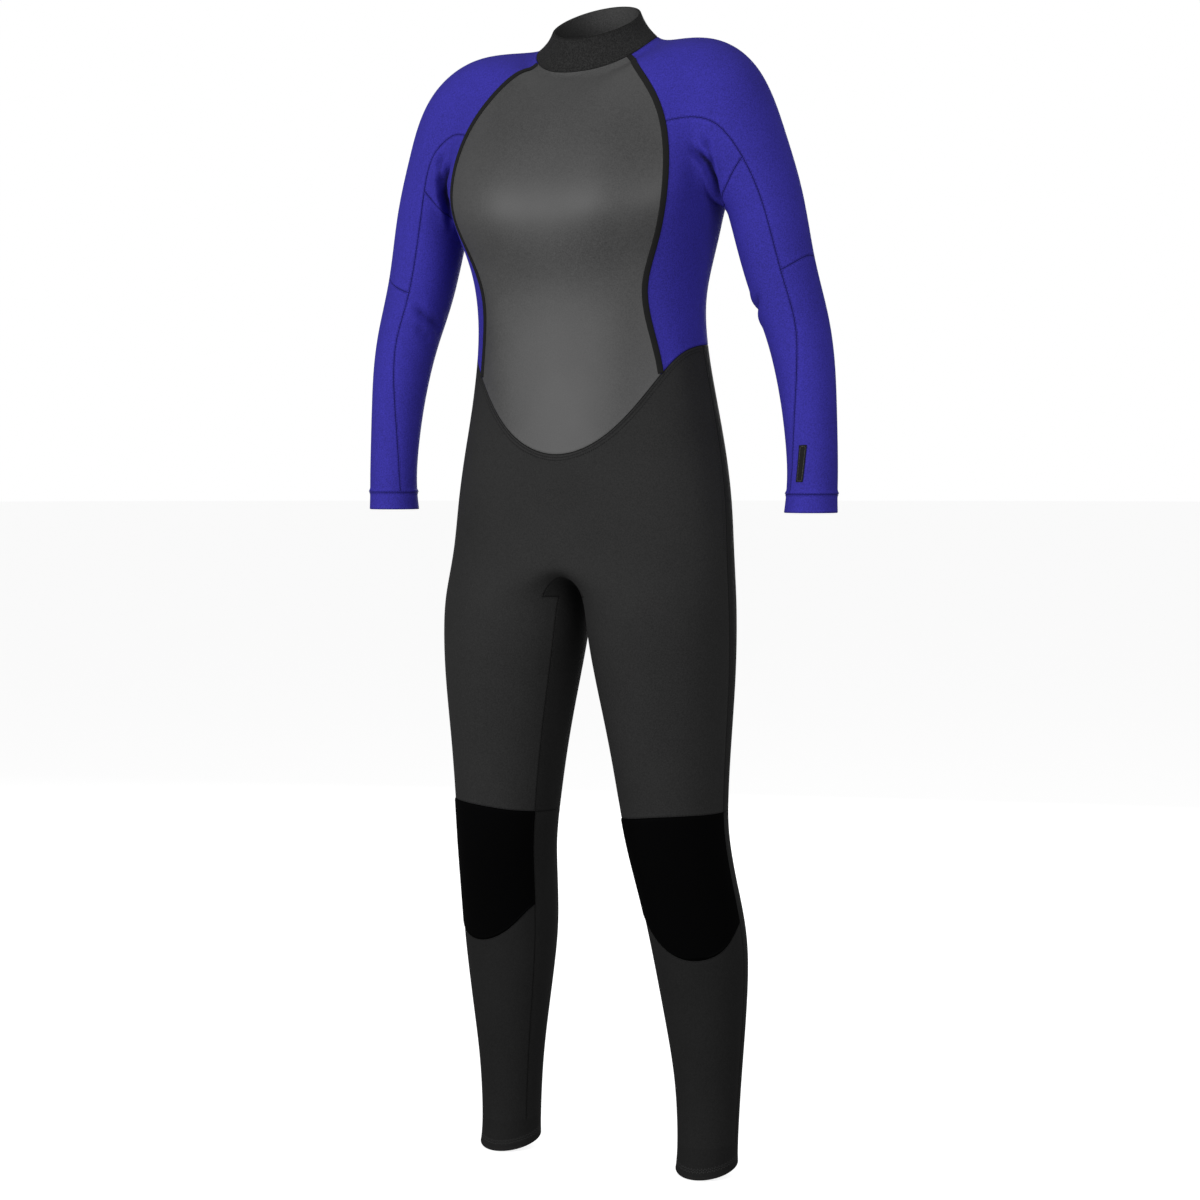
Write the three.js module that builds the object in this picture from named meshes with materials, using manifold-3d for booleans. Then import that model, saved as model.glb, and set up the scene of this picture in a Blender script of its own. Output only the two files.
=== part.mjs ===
// Full wetsuit with a back zip, built as neoprene panels cut from one body surface.
// Millimetres, +Z up; the wearer faces -Y and the wearer's left arm is at +X.
import * as THREE from "three";
import { mergeVertices } from "three/addons/utils/BufferGeometryUtils.js";
import Module from "manifold-3d";

// ---- driving dimensions ----
const BODY_LENGTH = 1380; // ankle hem to the back of the collar
const GIRTH = 1.0; // trunk and leg girth against a women's size 8
const SLEEVE_GIRTH = 1.0; // sleeve girth against the same size
const SLEEVE_LENGTH = 465; // shoulder point to wrist hem, measured down
const NEOPRENE = 3.0; // panel thickness
const SEAM_GAP = 0.3; // butt gap between glued panels
const PAD_PROUD = 1.2; // how far a knee pad stands off the leg
const TRIM_WIDTH = 7.0; // piping over the chest panel's side seams
const TRIM_RISE = 1.1;
const ZIP_OPENING = 14.15; // centre line to the edge of a back panel
const TEETH_FROM = 0.8; // centre line to the near edge of a row of teeth
const TEETH_TO = 3.2;
const TOOTH_PITCH = 12.5;
const SLIDER_LENGTH = 15.0;
const SLIDER_HALF_WIDTH = 6.0;
const TAB_LENGTH = 34.0; // zip pull
const GUARD_DEPTH = 5.0; // outer surface of the suit to the zip guard
const GUARD_THICKNESS = 2.0;
const LABEL_THICKNESS = 0.5;

const UP = BODY_LENGTH / 1380;
const SLEEVE = SLEEVE_LENGTH / 465;
const SHOULDER_Z = 1245;

// ---- body sections, for a suit of the nominal length and girth ----
// trunk: height, half width, front, back, centre, squareness, chest seam half width
const TRUNK = [
  [690, 178, -88, 108, 0, 0.92, 100],
  [720, 178, -86, 112, 0, 0.92, 104],
  [775, 175, -84, 113, 5, 0.9, 112],
  [830, 168, -83, 110, 10, 0.9, 118],
  [885, 156, -82, 103, 14, 0.88, 123],
  [940, 143, -79, 99, 15, 0.86, 124],
  [990, 137, -81, 96, 6, 0.85, 107],
  [1025, 138, -85, 95, 3, 0.84, 97],
  [1055, 142, -92, 97, 4, 0.78, 100],
  [1082, 148, -103, 100, 6, 0.7, 125],
  [1105, 151, -111, 101, 7, 0.64, 138],
  [1130, 152, -115, 100, 7, 0.62, 145],
  [1165, 153, -110, 97, 7, 0.64, 147],
];
// height of each row of the trunk at columns 0 (front) to 4 (side), then round the back
const ROWS = [
  [716, 722, 728, 732, 734, 734, 731, 724, 716],
  [752, 760, 776, 786, 790, 790, 788, 784, 782],
  [784, 800, 832, 846, 850, 850, 850, 850, 850],
  [798, 828, 888, 907, 912, 912, 912, 912, 912],
  [826, 860, 946, 966, 972, 974, 974, 974, 974],
  [896, 925, 992, 1014, 1022, 1024, 1026, 1028, 1028],
  [975, 992, 1038, 1056, 1062, 1064, 1070, 1076, 1076],
  [1044, 1055, 1085, 1097, 1100, 1104, 1114, 1124, 1124],
];
// the four rows that pass the armhole; column 4 is open in the middle two
const YOKE = [
  [[0, -117, 1110], [70, -134, 1112], [154, -87, 1130], [152, -46, 1138], [163, 8, 1134],
    [156, 62, 1138], [112, 92, 1154], [26, 0, 1172], [0, 0, 1172]],
  [[0, -105, 1170], [66, -116, 1172], [150, -71, 1192], [157, -50, 1196], null,
    [159, 68, 1190], [112, 94, 1204], [26, 0, 1218], [0, 0, 1218]],
  [[0, -88, 1222], [58, -90, 1226], [123, -52, 1246], [156, -46, 1250], null,
    [158, 66, 1250], [110, 92, 1256], [26, 0, 1260], [0, 0, 1260]],
  [[0, -62, 1258], [46, -62, 1264], [69, -38, 1290], [134, -26, 1314], [162, 14, 1329],
    [148, 52, 1319], [108, 78, 1310], [26, 0, 1298], [0, 0, 1298]],
];
// angle of each column round the collar: the chest seam runs up beside the neck, not in front of it
const COLLAR_TURN = [0, 28, 56, 76, 93, 112.5, 135, 157.5, 180];
// collar: height at its centre, half width, half depth, centre, rise front to back per mm, lift at the sides
const COLLAR = [
  [1301, 84, 66, 20, 0.42, 20],
  [1309, 74, 62, 20, 0.45, 15],
  [1331, 58, 56, 20, 0.5, 6],
  [1350, 51.5, 51, 20, 0.53, 0],
];
// straight line of the back zip: depth at the waist row and slope towards the neck
const ZIP_LINE = [98, -0.03, 885];
// sleeve: centre, radius outwards, radius front to back, direction in XZ, twist in degrees,
// twist that differs between the arms, droop at the front and back
const ARM = [
  [187, 8, 1207, 84, 60, 0.954, -0.3, 0, 5, 0],
  [207, 10, 1168, 53, 52, 0.8, -0.6, 0, 12, 0],
  [222, 12, 1120, 45.5, 46.5, 0.45, -0.89, -2, 17, 0],
  [236, 14, 1060, 40, 42, 0.33, -0.944, -8, 18, 26],
  [257, 15, 994, 37.5, 39.5, 0.24, -0.97, -8, 16, 6],
  [268, 14, 940, 34.5, 36.5, 0.12, -0.99, 5, 12, 0],
  [274.5, 13, 880, 30.5, 31.5, 0.05, -1, 25, 9, 0],
  [278, 12, 827, 28.5, 29, 0.02, -1, 40, 7, 0],
  [277, 11, 797, 28.8, 29.3, 0, -1, 44, 6, 0],
  [276, 11, 778, 30.3, 30.8, 0, -1, 46, 6, 0],
];
// leg: height, centre across, centre front to back, half width, front, back
const LEG = [
  [700, 92, -3, 88, 88, 102],
  [640, 96, -4, 87, 87, 94],
  [599, 99.6, -4, 84, 84, 88],
  [541, 105, -2, 75, 77, 78],
  [485, 107.5, 0, 67.5, 69, 69],
  [430, 110, 0, 62.5, 64, 63],
  [372, 116, 9, 59.5, 60, 59],
  [311, 123, 28, 58.5, 59, 61],
  [254, 128, 40, 57, 56, 61],
  [197, 131, 44, 51, 49, 54],
  [140, 132.5, 47, 43, 42, 44],
  [83, 134, 51, 36.5, 36, 37],
  [50, 133, 52, 34, 36, 35],
  [20, 133, 50, 35, 40, 36],
  [3, 133, 48, 36.5, 43, 37],
];
// top edge of the knee pad round the leg from column 0, the inner side lower
const PAD_TOP = [419, 427, 430, 429, 426, 426, 426, 424, 418, 412, 410, 412];
const LEG_ROWS = [682, 636, 580, 502, PAD_TOP];
// bottom edge of the knee pad and of the panel behind it, round the leg from column 0
const PAD_BOTTOM = [272, 250, 250, 266, 306, 312, 300, 292, 292, 300, 312, 316];
const LOWER_ROWS = [236, 172, 100, 23, 3];
const HEM_TILT = 0.2; // the ankle hem is lower at the front
const CROTCH = [[0, 42, 699], [0, -6, 698], [0, -50, 708]];

const TRUNK_COLUMNS = 16;
const ARM_COLUMNS = 10;
const LEG_COLUMNS = 12;

// how far a smooth ring lies inside the ring of its control points
const shrink = (n) => (2 + Math.cos((2 * Math.PI) / n)) / 3;

function section(table, z) {
  const up = table[0][0] < table[1][0];
  const rows = up ? table : [...table].reverse();
  if (z <= rows[0][0]) return rows[0];
  for (let i = 1; i < rows.length; i++)
    if (z <= rows[i][0]) {
      const t = (z - rows[i - 1][0]) / (rows[i][0] - rows[i - 1][0]);
      return rows[i].map((v, k) => rows[i - 1][k] + t * (v - rows[i - 1][k]));
    }
  return rows[rows.length - 1];
}

function trunkRow(heights) {
  const s = shrink(TRUNK_COLUMNS);
  return heights.map((z, k) => {
    const [, half, front, back, centre, square, seam] = section(TRUNK, z);
    const edge = Math.asin(Math.pow(seam / half, 1 / square));
    const turn = [0, edge / 2, edge, (edge + Math.PI / 2) / 2, Math.PI / 2];
    const phi = k < 5 ? turn[k] : (Math.PI * k) / 8;
    const c = Math.cos(phi);
    const reach = Math.pow(Math.abs(c), square) / s;
    const x = k === 0 || k === 8 ? 0 : (half / s) * Math.pow(Math.sin(phi), square);
    const y = centre + (c > 0 ? front - centre : back - centre) * reach;
    return [x, y, z];
  });
}

const zipY = (z) => ZIP_LINE[0] + ZIP_LINE[1] * (z - ZIP_LINE[2]);

function collarRow([z, rx, ry, cy, rise, lift]) {
  const s = shrink(TRUNK_COLUMNS);
  return COLLAR_TURN.map((turn, k) => {
    const phi = (Math.PI * turn) / 180;
    const y = cy - (ry / s) * Math.cos(phi);
    const up = z + rise * (y - cy) + lift * Math.pow(Math.sin(phi), 4);
    return [k === 0 || k === 8 ? 0 : (rx / s) * Math.sin(phi), y, up];
  });
}

function armRow([cx, cy, cz, out, deep, dx, dz, twist, turn, droop], side) {
  const s = shrink(ARM_COLUMNS);
  const n = Math.hypot(dx, dz);
  const z = SHOULDER_Z + (cz - SHOULDER_Z) * SLEEVE;
  return Array.from({ length: ARM_COLUMNS }, (_, j) => {
    const t = (2 * Math.PI * j) / ARM_COLUMNS - ((twist - side * turn) * Math.PI) / 180;
    const o = (Math.cos(t) * out * SLEEVE_GIRTH) / s;
    const b = (Math.sin(t) * deep * SLEEVE_GIRTH) / s;
    return [cx - (dz / n) * o, cy + b, z + (dx / n) * o - droop * Math.abs(Math.sin(t))];
  });
}

function legRow(heights) {
  const s = shrink(LEG_COLUMNS);
  const hem = heights === LOWER_ROWS[LOWER_ROWS.length - 1];
  return Array.from({ length: LEG_COLUMNS }, (_, j) => {
    const z = typeof heights === "number" ? heights : heights[j];
    const [, cx, cy, half, front, back] = section(LEG, z);
    const a = ((j - 4) * Math.PI) / 6;
    const y = cy + ((Math.sin(a) < 0 ? front : back) / s) * Math.sin(a);
    return [cx + (half / s) * Math.cos(a), y, z + (hem ? HEM_TILT * (y - cy) : 0)];
  });
}

const mix = (a, b, t) => a + (b - a) * t;

// ---- the control cage: quads tagged with part, row and column ----
const points = [];
const pointIndex = new Map();
let quads = []; // { v: [4], part, row, col, side } with row and col in half steps after one split

function pointId(p) {
  const key = p.map((c) => c.toFixed(3)).join();
  if (!pointIndex.has(key)) {
    pointIndex.set(key, points.length);
    points.push(p);
  }
  return pointIndex.get(key);
}

// corners holds four points for the left side, or a function of the side that gives them
function addQuad(corners, part, row, col, order) {
  for (const side of [1, -1]) {
    const four = typeof corners === "function" ? corners(side) : corners;
    const ids = four.map(([x, y, z]) => pointId([x * side, y, z]));
    const at = order.map(([r, c]) => [2 * row + r, 2 * col + c]);
    if (side < 0) {
      ids.reverse();
      at.reverse();
    }
    quads.push({ v: ids, at, part, side });
  }
}

function buildCage() {
  const scaled = (rows) =>
    rows.map((row) => row.map((p) => p && [p[0] * GIRTH, p[1] * GIRTH, p[2] * UP]));
  const onZip = (row) =>
    row.map((p, k) => p && (k > 6 ? [k === 7 ? 26 : 0, zipY(p[2]) + (k === 7 ? -2 : 1), p[2]] : p));
  const trunk = ROWS.map(trunkRow);
  for (let r = 2; r < trunk.length; r++) trunk[r] = onZip(trunk[r]);
  trunk[1][7][0] = 60;
  trunk[2][7][0] = 38;
  const yoke = YOKE.map(onZip);
  const collar = COLLAR.map(collarRow);
  collar[0] = onZip(collar[0]);
  const rows = scaled([...trunk, ...yoke, ...collar]);
  // the zip opening keeps its width whatever the girth
  for (let r = 2; r < rows.length - 3; r++) rows[r][7][0] = 26;
  const armpit = ROWS.length;
  const torsoOrder = [[0, 0], [0, 1], [1, 1], [1, 0]];
  for (let r = 0; r + 1 < rows.length; r++)
    for (let k = 0; k < 8; k++) {
      if (r >= armpit && r < armpit + 3 && (k === 3 || k === 4)) continue;
      const [lo, hi] = [rows[r], rows[r + 1]];
      addQuad([lo[k], lo[k + 1], hi[k + 1], hi[k]], "trunk", r, k, torsoOrder);
    }
  const [ra, rb, rc, rd] = rows.slice(armpit, armpit + 4);
  const hole = [rd[4], rd[5], rc[5], rb[5], ra[5], ra[4], ra[3], rb[3], rc[3], rd[3]];
  const limbOrder = [[0, 0], [1, 0], [1, 1], [0, 1]];
  const limb = (left, part, right = left) => {
    const onSide = (side) => (side > 0 ? left : right);
    for (let r = 0; r + 1 < left.length; r++)
      for (let j = 0; j < left[r].length; j++) {
        const n = (j + 1) % left[r].length;
        const four = (side) => {
          const [up, dn] = [onSide(side)[r], onSide(side)[r + 1]];
          return [up[j], dn[j], dn[n], up[n]];
        };
        addQuad(four, part, r, j, limbOrder);
      }
  };
  const sleeve = (side) => [hole, ...scaled(ARM.map((ring) => armRow(ring, side)))];
  limb(sleeve(1), "arm", sleeve(-1));
  const knee = [1, 2, 3].map((i) => PAD_BOTTOM.map((z, j) => mix(PAD_TOP[j], z, i / 3)));
  const below = PAD_BOTTOM.map((z) => mix(z, LOWER_ROWS[0], 0.72));
  const legs = [...LEG_ROWS, ...knee, below, ...LOWER_ROWS.slice(1)].map(legRow);
  limb([[...rows[0], ...scaled([CROTCH])[0]], ...scaled(legs)], "leg");
}

// ---- one Catmull-Clark split, keeping the tags, then every point moved to the limit surface ----
const add = (a, b, w = 1) => [a[0] + b[0] * w, a[1] + b[1] * w, a[2] + b[2] * w];
const scale = (a, w) => [a[0] * w, a[1] * w, a[2] * w];
const sub = (a, b) => add(a, b, -1);
const dot = (a, b) => a[0] * b[0] + a[1] * b[1] + a[2] * b[2];
const cross = (a, b) => [
  a[1] * b[2] - a[2] * b[1],
  a[2] * b[0] - a[0] * b[2],
  a[0] * b[1] - a[1] * b[0],
];
const unit = (a) => scale(a, 1 / (Math.hypot(...a) || 1));
const edgeKey = (a, b) => (a < b ? a * 1e6 + b : b * 1e6 + a);

function edgesOf(faces) {
  const edges = new Map();
  faces.forEach((f, i) =>
    f.v.forEach((a, c) => {
      const key = edgeKey(a, f.v[(c + 1) % 4]);
      if (!edges.has(key)) edges.set(key, { ends: [a, f.v[(c + 1) % 4]], faces: [] });
      edges.get(key).faces.push(i);
    }),
  );
  return edges;
}

function split(pts, faces) {
  const edges = edgesOf(faces);
  const centre = faces.map((f) => scale(f.v.map((i) => pts[i]).reduce((a, b) => add(a, b)), 0.25));
  const out = pts.map(() => null);
  const near = pts.map(() => ({ f: [0, 0, 0], nf: 0, e: [0, 0, 0], ne: 0, b: [0, 0, 0], nb: 0 }));
  faces.forEach((f, i) => f.v.forEach((p) => {
    near[p].f = add(near[p].f, centre[i]);
    near[p].nf++;
  }));
  const edgeIds = new Map();
  for (const [key, e] of edges) {
    const mid = scale(add(pts[e.ends[0]], pts[e.ends[1]]), 0.5);
    for (const i of [0, 1]) {
      const n = near[e.ends[i]];
      n.e = add(n.e, mid);
      n.ne++;
      if (e.faces.length === 1) {
        n.b = add(n.b, pts[e.ends[1 - i]]);
        n.nb++;
      }
    }
    const open = e.faces.length === 1;
    const ep = open ? mid : scale(add(mid, scale(add(centre[e.faces[0]], centre[e.faces[1]]), 0.5)), 0.5);
    edgeIds.set(key, out.length);
    out.push(ep);
  }
  pts.forEach((p, i) => {
    const n = near[i];
    if (n.nb) out[i] = add(scale(p, 0.75), n.b, 0.125);
    else {
      const k = n.ne;
      out[i] = scale(add(add(scale(n.f, 1 / n.nf), n.e, 2 / k), p, k - 3), 1 / k);
    }
  });
  const next = [];
  faces.forEach((f, i) => {
    const c = out.length;
    out.push(centre[i]);
    f.v.forEach((p, k) => {
      const e1 = edgeIds.get(edgeKey(p, f.v[(k + 1) % 4]));
      const e0 = edgeIds.get(edgeKey(p, f.v[(k + 3) % 4]));
      next.push({ v: [p, e1, c, e0], part: f.part, side: f.side, row: f.at[k][0], col: f.at[k][1] });
    });
  });
  return [out, next];
}

function toLimit(pts, faces) {
  const edges = edgesOf(faces);
  const near = pts.map(() => ({ e: [0, 0, 0], n: 0, d: [0, 0, 0], b: [0, 0, 0], nb: 0 }));
  for (const e of edges.values())
    for (const i of [0, 1]) {
      const n = near[e.ends[i]];
      n.e = add(n.e, pts[e.ends[1 - i]]);
      n.n++;
      if (e.faces.length === 1) {
        n.b = add(n.b, pts[e.ends[1 - i]]);
        n.nb++;
      }
    }
  for (const f of faces) f.v.forEach((p, k) => (near[p].d = add(near[p].d, pts[f.v[(k + 2) % 4]])));
  return pts.map((p, i) => {
    const { e, n, d, b, nb } = near[i];
    if (nb) return scale(add(scale(p, 4), b), 1 / 6);
    return scale(add(add(scale(p, n * n), e, 4), d), 1 / (n * (n + 5)));
  });
}

buildCage();
let surface;
[surface, quads] = split(points, quads);
surface = toLimit(surface, quads);

// rows of the trunk, in half steps
const WAIST = 2 * 4; // the curved seam under the chest panel
const ZIP_FOOT = 2 * 3;
const ARMPIT = 2 * ROWS.length;
const SLEEVE_SEAM = ARMPIT + 3;
const ZIP_HEAD = ARMPIT + 6;
const COLLAR_SEAM = ZIP_HEAD + 4;

// the back panels stop square at the zip
for (const q of quads)
  if (q.part === "trunk" && q.col === 14 && q.row >= ZIP_FOOT && q.row < ZIP_HEAD)
    for (const i of q.v) {
      const p = surface[i];
      if (Math.abs(p[0]) < 20 && Math.abs(p[0]) > 8) p[0] = Math.sign(p[0]) * ZIP_OPENING;
    }

const normals = surface.map(() => [0, 0, 0]);
const rims = new Map(); // open edges: wrist, ankle and neck
for (const q of quads) {
  const [a, b, c, d] = q.v.map((i) => surface[i]);
  const n = cross(sub(c, a), sub(d, b));
  for (const i of q.v) normals[i] = add(normals[i], n);
}
for (const e of edgesOf(quads).values())
  if (e.faces.length === 1) for (const i of e.ends) rims.set(i, quads[e.faces[0]]);
// at an open edge the panel's cut face lies square in the plane of the hem
const rimPlane = {
  arm: () => [0, 0, 1],
  leg: () => unit([0, (-HEM_TILT * UP) / GIRTH, 1]),
  trunk: () => unit([0, (-COLLAR[3][4] * UP) / GIRTH, 1]),
};
normals.forEach((n, i) => {
  if (rims.has(i)) {
    const plane = rimPlane[rims.get(i).part]();
    n = add(n, plane, -dot(n, plane));
  }
  normals[i] = unit(n);
});

// ---- which panel each small quad belongs to ----
const PAD_ROW = 2 * LEG_ROWS.length;
const HEM_ROW = PAD_ROW + 6 + 2 * (LOWER_ROWS.length - 1);
function labelOf(q) {
  const hand = q.side > 0 ? "_left" : "_right";
  const { row, col } = q;
  if (q.part === "trunk") {
    if (row >= COLLAR_SEAM) return "neck_collar";
    if (row < WAIST && col < 8) return "pelvis_front";
    if (row < ZIP_FOOT || (row < WAIST && col < 12)) return "lower_back";
    if (col === 15 && row < ZIP_HEAD) return "zip_tape" + hand;
    if (col >= 12) return "upper_back" + hand;
    if (col < 4) return "chest_panel";
    if (row < ARMPIT) return "side_panel" + hand;
    return (row < SLEEVE_SEAM ? "underarm_panel" : "shoulder_panel") + hand;
  }
  if (q.part === "arm") {
    const outer = col >= 15 || col < 5;
    if (row < 4) return (outer ? "shoulder_panel" : "underarm_panel") + hand;
    if (row >= 18) return "cuff" + hand;
    const zone = row < 8 ? "upper_sleeve" : row < 12 ? "elbow" : "forearm";
    return zone + (outer ? "_outer" : "_inner") + hand;
  }
  const front = col < 8 || col > 21;
  if (row < 2 && col > 16 && col < 23) return "crotch_gusset";
  if (row < 6) return (front ? "hip_front" : "hip_back") + hand;
  if (row < PAD_ROW) return (front ? "thigh_front" : "thigh_back") + hand;
  if (row < PAD_ROW + 6) return (col < 8 || col > 21 ? "knee_pad" : "knee_back") + hand;
  if (row >= HEM_ROW) return "ankle_hem" + hand;
  return (front ? "shin_front" : "calf_back") + hand;
}
for (const q of quads) q.label = labelOf(q);

// ---- panels: a set of small quads thickened between two depths below the surface ----
const group = new THREE.Group();

function addMesh(name, positions, triangles, colour, roughness = 0.85, metalness = 0) {
  const geometry = new THREE.BufferGeometry();
  geometry.setAttribute("position", new THREE.Float32BufferAttribute(positions.flat(), 3));
  geometry.setIndex(triangles.flat());
  geometry.computeVertexNormals();
  const material = new THREE.MeshStandardMaterial({ color: colour, roughness, metalness });
  const mesh = new THREE.Mesh(geometry, material);
  mesh.name = name;
  group.add(mesh);
}

function thicken(name, faces, outer, inner, colour, options = {}) {
  const { pull = () => SEAM_GAP / 2, cut = () => false } = options;
  const depth = (d, p) => (typeof d === "function" ? d(p) : d);
  const corner = new Map(); // vertex -> faces of this panel round it
  const inside = new Map();
  faces.forEach((q, f) =>
    q.v.forEach((a, c) => {
      if (!corner.has(a)) corner.set(a, []);
      corner.get(a).push(f);
      const b = q.v[(c + 1) % 4];
      const key = edgeKey(a, b);
      if (!inside.has(key)) inside.set(key, []);
      inside.get(key).push(f);
    }),
  );
  const joined = (a, b) =>
    inside.get(edgeKey(a, b)).length === 2 && !cut(surface[a], surface[b]);
  // a vertex where the panel meets itself only at a point is two vertices of the solid
  const ids = new Map();
  const solid = [];
  for (const [v, list] of corner) {
    const left = new Set(list);
    while (left.size) {
      const fan = [left.values().next().value];
      left.delete(fan[0]);
      for (let i = 0; i < fan.length; i++)
        for (const g of [...left]) {
          const shared = faces[fan[i]].v.filter((p) => p !== v && faces[g].v.includes(p));
          if (shared.some((p) => joined(v, p))) {
            left.delete(g);
            fan.push(g);
          }
        }
      for (const f of fan) ids.set(f * 1e6 + v, solid.length);
      solid.push({ v, shift: [] });
    }
  }
  const edges = [];
  faces.forEach((q, f) =>
    q.v.forEach((a, c) => {
      const b = q.v[(c + 1) % 4];
      if (joined(a, b)) return;
      const [ia, ib] = [ids.get(f * 1e6 + a), ids.get(f * 1e6 + b)];
      edges.push([ia, ib, a < b]);
      const along = unit(sub(surface[b], surface[a]));
      const amount = rims.has(a) && rims.has(b) ? 0 : pull(surface[a], surface[b]);
      for (const i of [ia, ib]) {
        const into = unit(cross(normals[solid[i].v], along));
        solid[i].shift.push([into, amount]);
      }
    }),
  );
  const place = ({ v, shift }, d) => {
    let p = surface[v];
    if (shift.length) {
      // the point that lies the asked distance inside every edge that meets here
      const [[n0, w0], [n1, w1]] = [shift[0], shift[shift.length - 1]];
      const c = dot(n0, n1);
      if (shift.length < 2 || c > 0.999) p = add(p, n0, Math.max(w0, w1));
      else {
        const det = 1 - c * c;
        p = add(add(p, n0, (w0 - c * w1) / det), n1, (w1 - c * w0) / det);
      }
    }
    return add(p, normals[v], -d);
  };
  const n = solid.length;
  const positions = [
    ...solid.map((s) => place(s, depth(outer, surface[s.v]))),
    ...solid.map((s) => place(s, depth(inner, surface[s.v]))),
  ];
  const triangles = [];
  faces.forEach((q, f) => {
    const [a, b, c, d] = q.v.map((v) => ids.get(f * 1e6 + v));
    const [pa, pb, pc, pd] = q.v.map((v) => surface[v]);
    const short = Math.hypot(...sub(pa, pc)) <= Math.hypot(...sub(pb, pd));
    const halves = short ? [[a, b, c], [a, c, d]] : [[a, b, d], [b, c, d]];
    for (const [i, j, k] of halves) triangles.push([i, j, k], [i + n, k + n, j + n]);
  });
  // neighbours split their facing walls the same way, so a twisted seam keeps its gap
  for (const [a, b, low] of edges)
    if (low) triangles.push([b, a, a + n], [b, a + n, b + n]);
    else triangles.push([b, a, b + n], [a, a + n, b + n]);
  addMesh(name, positions, triangles, colour, options.roughness);
}

const BLUE = 0x352f97;
const BLACK = 0x2e2e2e;
const JET = 0x101010;
const CHEST = 0x565656;
const COLOURS = [
  [/^(shoulder|underarm|side_panel|upper_sleeve|elbow|forearm|cuff)/, BLUE],
  [/^chest_panel/, CHEST],
  [/^(knee_pad|crotch)/, JET],
];
const colourOf = (name) => (COLOURS.find(([test]) => test.test(name)) || [0, BLACK])[1];

const nearBackCentre = (a, b) =>
  Math.abs(a[0]) < 1e-6 && Math.abs(b[0]) < 1e-6 && a[1] > 40 * GIRTH;
const byLabel = new Map();
for (const q of quads) {
  if (!byLabel.has(q.label)) byLabel.set(q.label, []);
  byLabel.get(q.label).push(q);
}
for (const [name, faces] of byLabel) {
  if (name.startsWith("zip_tape"))
    thicken(name, faces, 0.8, 2.2, JET, {
      pull: (a, b) => (Math.abs(a[0]) < 1e-6 && Math.abs(b[0]) < 1e-6 ? TEETH_TO + SEAM_GAP : SEAM_GAP / 2),
    });
  else if (name.startsWith("knee_pad")) thicken(name, faces, -PAD_PROUD, NEOPRENE, colourOf(name));
  else if (name === "neck_collar")
    thicken(name, faces, 0, NEOPRENE, colourOf(name), {
      cut: nearBackCentre,
      pull: (a, b) => (nearBackCentre(a, b) ? 1 : SEAM_GAP / 2),
    });
  else thicken(name, faces, 0, NEOPRENE, colourOf(name));
}

const pick = (test) => quads.filter(test);
const trunkAt = (q, r0, r1, c0, c1) =>
  q.part === "trunk" && q.row >= r0 && q.row < r1 && q.col >= c0 && q.col < c1;

// label on the left forearm: a blank woven tag
thicken(
  "sleeve_label",
  pick((q) => q.part === "arm" && q.side > 0 && q.row >= 15 && q.row < 17 && q.col === 16),
  -SEAM_GAP - LABEL_THICKNESS,
  -SEAM_GAP,
  0x1c1c22,
);

// closing tab over the back of the collar, with the loop patch it presses onto
const collarTop = COLLAR_SEAM + 1;
thicken(
  "loop_patch",
  pick((q) => trunkAt(q, collarTop, collarTop + 2, 10, 13) && q.side < 0),
  -0.9,
  -0.3,
  0x2a2a2a,
  { pull: () => 1.5 },
);
thicken(
  "collar_tab",
  pick((q) => trunkAt(q, collarTop, collarTop + 2, q.side < 0 ? 10 : 14, 16)),
  -2.8,
  (p) => (p[0] > 8 ? -0.4 : -1.2),
  BLACK,
  { pull: () => 0.6 },
);

// strip and guard behind the zip
thicken(
  "guard_strip",
  pick((q) => trunkAt(q, ZIP_FOOT, ZIP_HEAD, 14, 15) && q.side > 0),
  NEOPRENE + SEAM_GAP,
  GUARD_DEPTH - SEAM_GAP,
  BLACK,
);
thicken(
  "zip_guard",
  pick((q) => trunkAt(q, ZIP_FOOT, ZIP_HEAD, 14, 16)),
  GUARD_DEPTH,
  GUARD_DEPTH + GUARD_THICKNESS,
  BLACK,
);

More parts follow.
